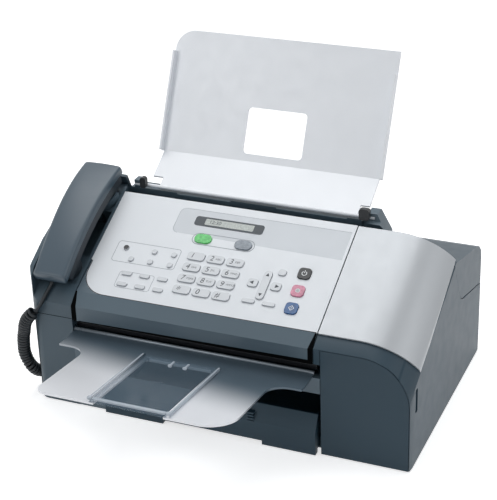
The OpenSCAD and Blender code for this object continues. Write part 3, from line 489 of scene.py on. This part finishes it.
DARK = linear(46, 67, 80)
GREY = linear(86, 103, 114)
SILVER = linear(181, 185, 189)
PALE = linear(227, 231, 235)
MATERIALS = {
    "body_dark": moulded("body_dark", DARK, 0.42, specular=0.3),
    "body_grey": moulded("body_grey", GREY, 0.42),
    "body_light": moulded("body_light", linear(70, 87, 98), 0.42, specular=0.4),
    "handset_plastic": moulded("handset_plastic", linear(64, 82, 95), 0.34, specular=0.6),
    # darker base: painted shade under the handset's shell
    "handset_under_painted_shade": moulded("handset_under_painted_shade", linear(38, 46, 53), 0.45),
    "silver_plastic": painted("silver_plastic", SILVER, 0.34, 0.3),
    "panel_silver": painted("panel_silver", PALE, 0.5, 0.1),
    "black_plastic": moulded("black_plastic", linear(28, 31, 35), 0.4),
    "clear_plastic": clear_plastic("clear_plastic", linear(128, 150, 168), 0.18),
    "support_grey": painted("support_grey", linear(238, 241, 245), 0.36, 0.1),
    "soft_rubber": rubbery("soft_rubber", linear(32, 33, 35)),
    "cord_black": rubbery("cord_black", linear(20, 28, 34), 0.4),
    "steel_rod": steel("steel_rod"),
    # tray colour holds painted shade and reflection of the casing: dark at the rear, silver at
    # the front
    "tray_silver": tray_painted_shade("tray_silver", linear(88, 104, 116), linear(240, 242, 246)),
    "tray_lip": painted("tray_lip", linear(150, 160, 168), 0.3, 0.2),
    # pale, mostly opaque clear plastic: painted highlight on the clear rails, grip, stops and
    # hooks
    "clear_painted_highlight": clear_plastic("clear_painted_highlight", linear(206, 216, 226), 0.72, 0.12),
    "circuit_board": circuit_board("circuit_board"),
    "green_key": lit_key("green_key", linear(88, 196, 104), 0.1),
    "copy_key_grey": lit_key("copy_key_grey", linear(138, 148, 158), 0.0),
    "stop_key_pink": lit_key("stop_key_pink", linear(222, 142, 168), 0.0),
    "start_key_blue": lit_key("start_key_blue", linear(38, 92, 148), 0.0),
    "key_white": painted("key_white", linear(204, 208, 212), 0.36, 0.1),
    "scanner_glass": clear_plastic("scanner_glass", linear(200, 215, 212), 0.3, 0.05),
    "display_glass": liquid_crystal("display_glass"),
    "print_grey": ink_print("print_grey", linear(150, 157, 164)),
    "print_dark": ink_print("print_dark", linear(44, 52, 60)),
    "print_zone": painted("print_zone", linear(196, 201, 206), 0.4, 0.12),
    "print_white": ink_print("print_white", linear(236, 240, 244)),
    # flat black: painted shade in the slot and gaps round the panel, the seam of the left housing
    # and the face's shadow line
    "shade_and_seam_black": moulded("shade_and_seam_black", linear(3, 4, 5), 0.9, specular=0.05),
    "lcd_field": ink_print("lcd_field", linear(196, 202, 198)),
}

# Nodes a shade lighter than the rest of the casing, as in the photograph
LIGHTER = ("left_housing",)


def dress_nodes():
    """Gives every CAD node its slot's material."""
    for sub in frame["record"]["subparts"]:
        obj = nodes[sub["node"]]
        obj.data.materials.clear()
        obj.data.materials.append(MATERIALS[sub["material_slot"]])
    for name in LIGHTER:
        nodes[name].data.materials[0] = MATERIALS["body_light"]


# Widths of the softened edges in millimetres
EDGE_OF_KEY, EDGE_OF_KEY_GROUP, EDGE_OF_REST = 0.4, 0.5, 0.2
KEY_GROUPS = ("round_keys", "one_touch_upper", "one_touch_lower")
EDGE = {  # nodes with a width of their own
    "handset_base": 0.8, "panel_frame": 0.8, "panel_face": 0.25, "left_housing": 0.8,
    "right_housing": 0.7, "rear_housing": 0.7, "column_cover": 0.5, "front_beam": 0.4,
    "tray_extension": 0.3, "document_support": 0.4, "ink_door": 0.4, "paper_cassette": 0.5,
    "guide_left": 0.6, "guide_right": 0.6, "jack_block": 0.4, "cord_plug": 0.5,
}
WELD = 0.00002  # metres between points that are taken as one


def edge_width(name):
    """Width of a node's softened edges in millimetres."""
    if name in KEY_GROUPS:
        return EDGE_OF_KEY_GROUP
    is_key = name.endswith("key") or name.startswith(("key_", "nav_"))
    return EDGE.get(name, EDGE_OF_KEY if is_key else EDGE_OF_REST)


def soften_edges():
    """Rounds the edges of the visible CAD nodes with modifiers."""
    for name, obj in nodes.items():
        if obj.hide_render:
            continue
        weld = obj.modifiers.new("weld", "WELD")
        weld.merge_threshold = WELD
        bevel = obj.modifiers.new("bevel", "BEVEL")
        bevel.width = edge_width(name) * MM
        bevel.segments = 2
        bevel.limit_method = "ANGLE"
        bevel.angle_limit = math.radians(32)
        bevel.use_clamp_overlap = True
        bevel.harden_normals = False
        shade_smooth(obj.data)
        smooth = obj.modifiers.new("normals", "WEIGHTED_NORMAL")
        smooth.keep_sharp = False


# ------------------------------------------------------------ document tray


# Faces of a block whose corners come from product(xs, ys, zs)
BLOCK_FACES = [(0, 1, 3, 2), (4, 6, 7, 5), (0, 4, 5, 1), (2, 3, 7, 6), (0, 2, 6, 4), (1, 5, 7, 3)]


def box_mesh(name, low, high):
    """Closed box between two corners in the row frame, in millimetres."""
    return mesh_from(name, [Vector(p) * MM for p in product(*zip(low, high))], BLOCK_FACES)


def cut_copy(name, node, boxes):
    """Mesh of a CAD node with boxes cut out of it."""
    work = bpy.data.objects.new(name, nodes[node].data.copy())
    bpy.context.scene.collection.objects.link(work)
    weld = work.modifiers.new("weld", "WELD")
    weld.merge_threshold = WELD
    cutters = []
    for i, (low, high) in enumerate(boxes):
        cutter = bpy.data.objects.new(f"cut_{i}", box_mesh(f"cut_{i}", low, high))
        bpy.context.scene.collection.objects.link(cutter)
        cut = work.modifiers.new(f"cut_{i}", "BOOLEAN")
        cut.solver = "EXACT"
        cut.operation = "DIFFERENCE"
        cut.object = cutter
        cutters.append(cutter)
    made = bpy.data.meshes.new_from_object(
        work.evaluated_get(bpy.context.evaluated_depsgraph_get())
    )
    made.name = name
    tidy = bmesh.new()
    tidy.from_mesh(made)
    bmesh.ops.remove_doubles(tidy, verts=tidy.verts, dist=1.5 * WELD)
    bmesh.ops.dissolve_limit(
        tidy, angle_limit=math.radians(1), verts=tidy.verts, edges=tidy.edges
    )
    tidy.to_mesh(made)
    tidy.free()
    for obj in (work, *cutters):
        bpy.data.objects.remove(obj)
    made.materials.clear()
    return made


TRAY_Z = 82.5  # top face of the tray at its rear
TRAY_FLAT = 18  # length of its level part in front of the casing
TRAY_RISE = 0.132
PLATE_X = (-56.5, 16.1)  # sides of the clear plate
TRAY_TIP = FRONT_Y - 126.5
TRAY_EDGE = 0.5  # rounding of the tray's edges and fittings
LIP_X = (-142, -60, 20, 97.6)  # places along the rolled lip
LIP_R = 1.6
LEDGE = 3.5  # what the tray keeps under each side of the clear plate
RAIL_X = (PLATE_X[0] - 1.2, PLATE_X[1] + 1.2)
RAIL_Y = (FRONT_Y - 22, TRAY_TIP + 3)
RAIL_HALF, RAIL_TOP = 0.9, 3.6
GRIP_Y = (TRAY_TIP + 1, TRAY_TIP + 5)
STOP_X = (PLATE_X[0] - 0.6, PLATE_X[1] + 0.6)
STOP_Y = TRAY_TIP + 2.5
STOP_RADII = (2.6, 2.2, 2.0)
HOOK_X = (-25.0, -10.5)
HOOK_Y = FRONT_Y - 29
HOOK_END_RADII = (2.2, 1.4, 1.6)
PLATE_MARKS = (  # x, y, radii
    (-24, -121, 1.3, 1.7, 0.7), (-20, -122.5, 2.2, 1.3, 0.7), (-17, -119, 1.2, 1.6, 0.7),
)


def tray_face(y):
    return TRAY_Z + max(0, FRONT_Y - TRAY_FLAT - y) * TRAY_RISE


def on_tray(name, xs, ys, heights, material, body="tray", slot="silver_plastic"):
    """Bar between two places in x and in y, and two heights above the tray's slope."""
    points = [Vector((x, y, tray_face(y) + h)) * MM for x, y, h in product(xs, ys, heights)]
    rounded_edges(new_object(name, mesh_from(name, points, BLOCK_FACES), body, material))


def rounded_edges(obj):
    bevel = obj.modifiers.new("bevel", "BEVEL")
    bevel.width = TRAY_EDGE * MM
    bevel.segments = 3
    bevel.limit_method = "ANGLE"
    shade_smooth(obj.data)
    obj.modifiers.new("normals", "WEIGHTED_NORMAL")


def bead(name, centre, radii, material, body, slot):
    """Small moulded bump: a sphere stretched to three radii, in millimetres."""
    mesh = bpy.data.meshes.new(name)
    work = bmesh.new()
    bmesh.ops.create_uvsphere(work, u_segments=16, v_segments=10, radius=1)
    stretch = Matrix.Diagonal((*(r * MM for r in radii), 1))
    work.transform(Matrix.Translation(Vector(centre) * MM) @ stretch)
    work.to_mesh(mesh)
    work.free()
    shade_smooth(mesh)
    new_object(name, mesh, body, material)


def make_tray():
    """Tray with the opening under its clear plate and a low rolled lip at the slot."""
    silver, clear = MATERIALS["tray_silver"], MATERIALS["clear_painted_highlight"]
    x0, x1 = PLATE_X
    opening = ((x0 + LEDGE, TRAY_TIP - 20, 60), (x1 - LEDGE, FRONT_Y - 27, 120))
    lip_off = ((-200, FRONT_Y + 0.5, TRAY_Z), (200, FRONT_Y + 20, 100))
    mesh = cut_copy("tray_plate", "document_tray", [opening, lip_off])
    plate = new_object("tray_plate", mesh, "tray", silver)
    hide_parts("document_tray")
    rounded_edges(plate)
    lip = [Vector((x, FRONT_Y + 3.0, TRAY_Z + 0.9)) * MM for x in LIP_X]
    lip_mesh = tube("tray_lip", lip, LIP_R * MM, 20)
    new_object("tray_lip", lip_mesh, "tray", MATERIALS["tray_lip"])
    # rails, grip, stops and hooks take the pale clear plastic with its painted highlight
    for i, x in enumerate(RAIL_X):
        on_tray(f"tray_rail_{i}", (x - RAIL_HALF, x + RAIL_HALF), RAIL_Y, (0.2, RAIL_TOP), clear)
    # raised grip along the plate's front edge, its stops, hooks and moulded marks
    on_plate = ("extension", "clear_plastic")
    on_tray("plate_grip", (x0 + 2, x1 - 2), GRIP_Y, (1.7, RAIL_TOP), clear, *on_plate)
    for i, x in enumerate(STOP_X):
        centre = (x, STOP_Y, tray_face(STOP_Y) + 3)
        bead(f"plate_stop_{i}", centre, STOP_RADII, clear, "tray", "clear_plastic")
    for i, x in enumerate(HOOK_X):
        ends = (HOOK_Y - 6, HOOK_Y + 3)
        on_tray(f"plate_hook_{i}", (x - 1, x + 1), ends, (1.8, 3.4), clear, *on_plate)
        end = (x, ends[0], tray_face(HOOK_Y) + 3.2)
        bead(f"plate_hook_end_{i}", end, HOOK_END_RADII, clear, *on_plate)
    for i, (x, y, *radii) in enumerate(PLATE_MARKS):
        centre = (x, y, tray_face(y) + 2.0)
        bead(f"plate_mark_{i}", centre, radii, MATERIALS["clear_plastic"], *on_plate)


# ------------------------------------------------------------------ handset

HANDSET_V = (-1.5, 137.5)  # front and rear end, along the panel's slope
HANDSET_RIGHT = -245.2
HANDSET_LEFT = -279.8  # at the mouth end
HANDSET_FLARE = 5.8  # how much further left it goes at the ear end
FLARE_END = 128
HANDSET_ARC = 260  # radius of the back's arch
HANDSET_TOP = 20.5  # top of the back where the arch ends
ARCH_HALF = 68
SHELL_DEEP = 9.5
TOP_RIGHT_R, TOP_LEFT_R, LOW_R = 3.2, 4.4, 1.6
TIP = 2.6  # length over which each end is rounded
TIP_DROP, TIP_TUCK, TIP_RAISE = 2.4, 2.2, 3  # what a tip loses at its top, sides and underside
CROWN = 1.1
CORNER_STEPS = 6
NEAR_TIP = (0, 0.5, 1.3, 2.6, 5)  # places of the sections close to each end
SPANS = 24  # spaces between the sections from there on


def handset_section(v, ends):
    """Outline of the shell across its length, in [x, w]; ends is 0 at a rounded tip."""
    middle, tip = sum(HANDSET_V) / 2, (1 - ends) ** 2
    rise = math.sqrt(HANDSET_ARC**2 - (v - middle) ** 2)
    rise -= math.sqrt(HANDSET_ARC**2 - ARCH_HALF**2)
    top, tuck = HANDSET_TOP + rise - TIP_DROP * tip, TIP_TUCK * tip
    left = HANDSET_LEFT - HANDSET_FLARE * between(0, FLARE_END, v) + tuck
    right = HANDSET_RIGHT - tuck
    low = top - SHELL_DEEP + TIP_RAISE * tip
    centre, half = (left + right) / 2, (right - left) / 2
    corners = (  # corner, radius, start of its arc in degrees
        ((right, top), TOP_RIGHT_R, 0),
        ((left, top), TOP_LEFT_R, 90),
        ((left, low), LOW_R, 180),
        ((right, low), LOW_R, 270),
    )
    outline = []
    for (x, w), r, start in corners:
        cx = x - r if start in (0, 270) else x + r
        cw = w - r if start in (0, 90) else w + r
        for k in range(CORNER_STEPS + 1):
            a = math.radians(start + 90 / CORNER_STEPS * k)
            px, pw = cx + r * math.cos(a), cw + r * math.sin(a)
            if pw > top - r:
                pw += CROWN * (1 - ((px - centre) / half) ** 2)
            outline.append((px, pw))
    crown = [
        (centre + k * half / 4, top + CROWN * (1 - (k / 4) ** 2)) for k in (2, 1, 0, -1, -2)
    ]
    corner = CORNER_STEPS + 1
    return outline[:corner] + crown + outline[corner:]


def make_handset():
    """Crowned shell, wider at the ear end, over the CAD's base, which is darkened as painted
    shade under the shell.
    """
    v0, v1 = HANDSET_V
    inset = NEAR_TIP[-1]
    stations = [v0 + d for d in NEAR_TIP]
    stations += [v0 + inset + (v1 - v0 - 2 * inset) * k / SPANS for k in range(1, SPANS)]
    stations += [v1 - d for d in reversed(NEAR_TIP)]
    vertices, faces = [], []
    for v in stations:
        near = min(min(v - v0, v1 - v) / TIP, 1)
        section = handset_section(v, math.sqrt(max(0, 1 - (1 - near) ** 2)))
        count = len(section)
        vertices += [on_panel(x, v, w) for x, w in section]
    for i, k in product(range(len(stations) - 1), range(count)):
        a, b = i * count + k, i * count + (k + 1) % count
        faces.append((a, b, b + count, a + count))
    faces.append(tuple(reversed(range(count))))
    faces.append(tuple((len(stations) - 1) * count + k for k in range(count)))
    mesh = mesh_from("handset_back", vertices, faces, smooth=True)
    work = bmesh.new()
    work.from_mesh(mesh)
    bmesh.ops.recalc_face_normals(work, faces=work.faces)
    work.to_mesh(mesh)
    work.free()
    plastic = MATERIALS["handset_plastic"]
    shell = new_object("handset_back", mesh, "handset", plastic)
    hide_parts("handset_shell")
    # the base is darkened: painted shade under the shell
    nodes["handset_base"].data.materials.clear()
    nodes["handset_base"].data.materials.append(MATERIALS["handset_under_painted_shade"])


# ------------------------------------------------------- painted shade in the gaps round the panel

SLOT_X = (SEAM_X - 233.5, SEAM_X - 5.0)  # ends of the slot over the tray
SLOT_Z = (93.4, 94.2, 97.4)  # its low edge, and its top at the left and at the right
LEFT_SEAM_X = (LEFT_X + 1.5, SEAM_X - 240.8)
LEFT_SEAM_Z = (94.7, 95.2, 95.2)
GAP_Z = 93.5  # low end of the gaps beside the panel
BAND_Z = 108.7  # where the panel's front turns into its bevel
SLOT_PROUD, SEAM_PROUD, GAP_PROUD = 0.14, 0.1, 0.12  # in front of the casing
GAPS = (  # name, outer edge, inner edge and inner edge at the top, from the seam
    ("gap_left", -240.3, -235.4, -238.6),
    ("gap_right", -0.4, -5.2, -1.8),
)


def shade_and_seam_patch(name, points, faces, body):
    """Flat black piece just in front of the casing: painted shade over an opening, a dark seam
    over a joint.
    """
    mesh = mesh_from(name, [Vector(p) * MM for p in points], faces)
    new_object(name, mesh, body, MATERIALS["shade_and_seam_black"])


def shade_and_seam_strip(name, xs, zs, proud, body):
    """Black strip on the front, painted shade in the slot and the dark seam of the left housing;
    zs are its low edge and its tops at the left and right.
    """
    (x0, x1), (low, left_top, right_top), y = xs, zs, FRONT_Y - proud
    corners = [(x0, y, low), (x1, y, low), (x1, y, right_top), (x0, y, left_top)]
    shade_and_seam_patch(name, corners, [(0, 1, 2, 3)], body)


def make_gaps():
    """Painted shade as flat black sheets in the slot under the panel and the tapered gaps at the
    panel's ends, and a dark line on the seam of the left housing.
    """
    shade_and_seam_strip("slot_shade", SLOT_X, SLOT_Z, SLOT_PROUD, "panel")
    shade_and_seam_strip("front_seam", LEFT_SEAM_X, LEFT_SEAM_Z, SEAM_PROUD, "casing")
    front, rear, rear_z = FRONT_Y - GAP_PROUD, PANEL_Y - 0.1, PANEL_Z + 0.1
    for name, *edges in GAPS:
        outer, inner, top = (SEAM_X + x for x in edges)
        points = [(x, front, z) for z in (GAP_Z, BAND_Z) for x in (outer, inner)]
        points += [(outer, rear, rear_z), (top, rear, rear_z)]
        shade_and_seam_patch(name, points, [(0, 1, 3, 2), (2, 3, 5, 4)], "panel")


# --------------------------------------------------- printed marks on the panel


def ribbon(points, width, closed):
    """A flat printed line along points in panel millimetres, as a mesh."""
    count = len(points)
    vertices, faces = [], []
    for i, p in enumerate(points):
        before = points[i - 1] if closed or i else p
        after = points[(i + 1) % count] if closed or i < count - 1 else p
        along = (Vector(after) - Vector(before)).normalized()
        across = Vector((-along.y, along.x)) * width / 2
        vertices += [Vector(p) + across, Vector(p) - across]
    for i in range(count if closed else count - 1):
        j = (i + 1) % count
        faces.append((2 * i, 2 * i + 1, 2 * j + 1, 2 * j))
    return vertices, faces


def arc(x, v, r, start, end, steps):
    """Points of a circle from one angle in degrees to another."""
    turn = [math.radians(start + (end - start) * k / steps) for k in range(steps + 1)]
    return [(x + r * math.cos(a), v + r * math.sin(a)) for a in turn]


def round_rect(x0, v0, x1, v1, r, steps=6):
    corners = ((x1 - r, v1 - r), (x0 + r, v1 - r), (x0 + r, v0 + r), (x1 - r, v0 + r))
    outline = []
    for k, (x, v) in enumerate(corners):
        outline += arc(x, v, r, 90 * k, 90 * k + 90, steps)
    return outline


LIFT = 0.04  # height of printed ink above the face


def printed_line(name, points, width, closed=True, ink="print_grey", lift=LIFT):
    vertices, faces = ribbon(points, width, closed)
    mesh = mesh_from(name, [on_panel(p.x, p.y, lift) for p in vertices], faces)
    new_object(name, mesh, "panel", MATERIALS[ink])


def printed_patch(name, points, ink, lift=LIFT):
    vertices = [on_panel(x, v, lift) for x, v in points]
    mesh = bpy.data.meshes.new(name)
    work = bmesh.new()
    work.faces.new([work.verts.new(p) for p in vertices])
    bmesh.ops.triangulate(work, faces=work.faces)
    work.to_mesh(mesh)
    work.free()
    return new_object(name, mesh, "panel", MATERIALS[ink])


def text(name, words, x, v, size, body, lift, align="CENTER", slant=0.0):
    """Words printed at a place on the panel, which move with a body."""
    data = bpy.data.curves.new(name, "FONT")
    data.body = words
    data.size = size * MM
    data.align_x, data.align_y = align, "CENTER"
    data.shear = slant
    data.materials.append(MATERIALS["print_dark"])
    obj = bpy.data.objects.new(name, data)
    bpy.context.scene.collection.objects.link(obj)
    obj.matrix_world = PANEL @ Matrix.Translation(Vector((x, v, lift)) * MM)
    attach(obj, body)


KEY_TOP = 1.4  # height of the keys over the face
DIGIT_X, DIGIT_V, PITCH_X, PITCH_V = -119.8, 20.6, 19.7, 13.0
DIGIT_SIZE, STAR_SIZE, LETTER_SIZE = 7.8, 9.5, 2.9
DIGIT_DX, LETTER_DX = -3.6, 0.2  # from the middle of the key
DIGIT_SLANT = 0.15
STAR_DROP = 1.2  # the star stands high in its line
DIGITS = [
    ("1", "", "key_1"), ("2", "ABC", "key_2"), ("3", "DEF", "key_3"), ("4", "GHI", "key_4"),
    ("5", "JKL", "key_5"), ("6", "MNO", "key_6"), ("7", "PQRS", "key_7"), ("8", "TUV", "key_8"),
    ("9", "WXYZ", "key_9"), ("*", "", "key_star"), ("0", "", "key_0"), ("#", "", "key_hash"),
]


def mark_digits():
    top = KEY_TOP + LIFT
    for i, (digit, letters, node) in enumerate(DIGITS):
        x = DIGIT_X + PITCH_X * (i % 3 - 1)
        v = DIGIT_V + PITCH_V * (3 - i // 3)
        drop, size = (STAR_DROP, STAR_SIZE) if digit == "*" else (0, DIGIT_SIZE)
        cap = node + "_cap"
        at = (x + DIGIT_DX, v - drop)
        text(f"digit_{node}", digit, *at, size, cap, top, slant=DIGIT_SLANT)
        if letters:
            text(f"letters_{node}", letters, x + LETTER_DX, v, LETTER_SIZE, cap, top, "LEFT")


def patch_on(name, points, ink, body, lift):
    """Flat printed shape on a moving key."""
    obj = printed_patch(name, points, ink, lift)
    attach(obj, body)


def ring(centre, inner, outer, start=0, end=359, steps=28):
    """Outline of a ring, or part of one, as one closed line."""
    rim, hole = (arc(*centre, r, start, end, steps) for r in (outer, inner))
    return rim + hole[::-1]


def bar(x, v0, v1, width):
    return [(x - width / 2, v0), (x + width / 2, v0), (x + width / 2, v1), (x - width / 2, v1)]


DARK_KEY, POWER, STOP, START = (-211, 57), (-31.8, 59.8), (-31.7, 40.2), (-31.4, 20.6)
SYMBOLS = (  # name, body of the key, ink, outline
    ("arrow_left", "nav_left_cap", "print_dark", ((-79, 41), (-75.2, 43), (-75.2, 39))),
    ("arrow_right", "nav_right_cap", "print_dark", ((-49.9, 40.8), (-53.7, 42.8), (-53.7, 38.8))),
    ("arrow_up", "nav_rocker_cap", "print_dark", ((-64.6, 53.6), (-66.4, 50.2), (-62.8, 50.2))),
    ("arrow_down", "nav_rocker_cap", "print_dark", ((-64.6, 27.2), (-62.8, 30.6), (-66.4, 30.6))),
    ("dark_key_top", "round_keys_body", "black_plastic", ring(DARK_KEY, 0.02, 2.5)),
    ("power_ring", "power_key_cap", "print_white", ring(POWER, 1.9, 2.6, 125, 415)),
    ("power_bar", "power_key_cap", "print_white", bar(POWER[0], 60.2, 63.2, 0.7)),
    ("stop_ring", "stop_key_cap", "print_white", ring(STOP, 1.8, 2.3)),
    ("stop_bar", "stop_key_cap", "print_white", bar(STOP[0], 38.9, 41.5, 0.6)),
    ("start_diamond", "start_key_cap", "print_white", ring(START, 2.1, 2.9, 90, 449, 4)),
    ("start_bar", "start_key_cap", "print_white", bar(START[0], 19.7, 21.5, 0.6)),
)


def mark_keys():
    """Generic symbols: arrows, power, stop and start, and the one dark round key."""
    for name, body, ink, outline in SYMBOLS:
        patch_on(name, outline, ink, body, KEY_TOP + LIFT)


FACE_EDGE = -238.4  # left edge of the silver face
FACE_STRIP = ((-240.3, 38), (FACE_EDGE, 37), (FACE_EDGE, 122.8), (-240.3, 122.8))
SHADOW_ARC = (-212.8, 26, 25.6)  # centre and radius of the face's lower left corner
# Frames and fields: left, low, right, high and the radius of their corners
ZONE = (-175, 84, -4.8, 114, 6)
ZONE_RIGHT = -3  # the zone's right end has no round corners
CAPSULE = (-151.5, 74.2, -88.8, 87.2, 6.4)
ROUND_KEYS = (-221, 40.5, -156, 64.5, 3)
ONE_TOUCH = (-206, 12, -170.5, 30.5, 2.5)
DISPLAY = (-146, 97.6, -96.5, 104.8, 1)
WINDOW_TOP = 0.3  # height of the display window over the face


def mark_panel():
    # the face runs to the panel's left edge, with a shadow line round its lower edge
    printed_patch("face_edge", FACE_STRIP, "panel_silver", LIFT / 4)
    shadow = [(-1, 0.4), *arc(*SHADOW_ARC, 270, 180, 12), (FACE_EDGE, 37)]
    printed_line("face_shadow", shadow, 0.7, closed=False, ink="shade_and_seam_black")
    # grey zone around the display: the two left corners of its round_rect, 7 points each
    zone_edge = [(ZONE_RIGHT, ZONE[3])] + round_rect(*ZONE)[7:21]
    printed_patch("display_zone", [(ZONE_RIGHT, 81.5)] + zone_edge, "print_zone", LIFT / 2)
    printed_line("display_zone_edge", zone_edge, 0.4, closed=False)
    # capsule around the two mode keys, and frames of the key groups
    printed_line("mode_capsule", round_rect(*CAPSULE, 10), 0.7, lift=LIFT * 1.5)
    printed_line("round_key_frame", round_rect(*ROUND_KEYS), 0.5)
    printed_line("one_touch_frame", round_rect(*ONE_TOUCH), 0.4)
    # display field and its digits
    printed_patch("display_field", round_rect(*DISPLAY), "lcd_field", WINDOW_TOP + LIFT)
    text("display_digits", "12:30", -142, 101.2, 5.6, "panel", WINDOW_TOP + 2 * LIFT, "LEFT")


# ---------------------------------------------------------- floor and light


FLOOR_SIZE = 6.0  # half its side in metres
FLOOR_GLOW = 0.65
FLOOR_DROP = 0.0004  # metres below the feet
SKY_STRENGTH = 0.3


def seen_rays(tree):
    """Socket that is 1 for what the camera sees, directly or mirrored, and else 0."""
    rays = tree.nodes.new("ShaderNodeLightPath")
    seen = tree.nodes.new("ShaderNodeMath")
    seen.operation = "MAXIMUM"
    tree.links.new(rays.outputs["Is Camera Ray"], seen.inputs[0])
    tree.links.new(rays.outputs["Is Glossy Ray"], seen.inputs[1])
    return seen.outputs[0]


def make_floor():
    """Pale floor that glows a little where it is seen, so that it reads as white."""
    s = Surface("floor", 0.7)
    s.set("Emission Color", (1, 1, 1, 1))
    glow = s.node("ShaderNodeMath")
    glow.operation = "MULTIPLY"
    s.link(seen_rays(s.tree), glow.inputs[0])
    glow.inputs[1].default_value = FLOOR_GLOW
    s.link(glow.outputs[0], s.shader.inputs["Emission Strength"])
    size = FLOOR_SIZE
    corners = [(-size, -size, 0), (size, -size, 0), (size, size, 0), (-size, size, 0)]
    mesh = mesh_from("floor", corners, [(0, 1, 2, 3)])
    s.colour_from(s.tint(s.noise(3.0, 2.0), (0.93, 0.93, 0.93, 1), (0.97, 0.97, 0.97, 1)))
    floor = bpy.data.objects.new("floor", mesh)
    floor.location.z = -FLOOR_DROP
    mesh.materials.append(s.material)
    bpy.context.scene.collection.objects.link(floor)


def area_light(name, place, target, size, power):
    data = bpy.data.lights.new(name, "AREA")
    data.shape = "RECTANGLE"
    data.size, data.size_y = size
    data.energy = power
    lamp = bpy.data.objects.new(name, data)
    lamp.location = place
    lamp.rotation_euler = (Vector(target) - Vector(place)).to_track_quat("-Z", "Y").to_euler()
    bpy.context.scene.collection.objects.link(lamp)


def make_light():
    """Dim sky that is seen as plain white, and three soft lamps."""
    world = bpy.data.worlds.new("world")
    bpy.context.scene.world = world
    world.use_nodes = True
    tree = world.node_tree
    sky = tree.nodes["Background"]
    sky.inputs["Color"].default_value = (0.93, 0.96, 1.0, 1)
    sky.inputs["Strength"].default_value = SKY_STRENGTH
    white = tree.nodes.new("ShaderNodeBackground")
    white.inputs["Color"].default_value = (1, 1, 1, 1)
    white.inputs["Strength"].default_value = 1.0
    mix = tree.nodes.new("ShaderNodeMixShader")
    tree.links.new(seen_rays(tree), mix.inputs["Fac"])
    tree.links.new(sky.outputs[0], mix.inputs[1])
    tree.links.new(white.outputs[0], mix.inputs[2])
    tree.links.new(mix.outputs[0], tree.nodes["World Output"].inputs["Surface"])
    # name, place, target, size, watts
    area_light("top", (-0.15, 0.45, 1.5), (0, -0.05, 0.1), (1.5, 1.1), 12)
    area_light("front_left", (-0.9, -1.5, 1.1), (0, 0, 0.1), (0.9, 0.9), 5)
    area_light("right", (1.6, 0.2, 1.0), (0, 0, 0.1), (0.8, 1.0), 2.7)


# ---------------------------------------------------------------- the scene

make_camera()
make_cord(MATERIALS["cord_black"])
dress_nodes()
make_tray()
make_handset()
make_gaps()
soften_edges()
mark_digits()
mark_keys()
mark_panel()
make_floor()
make_light()
bpy.context.scene.view_settings.view_transform = "Standard"
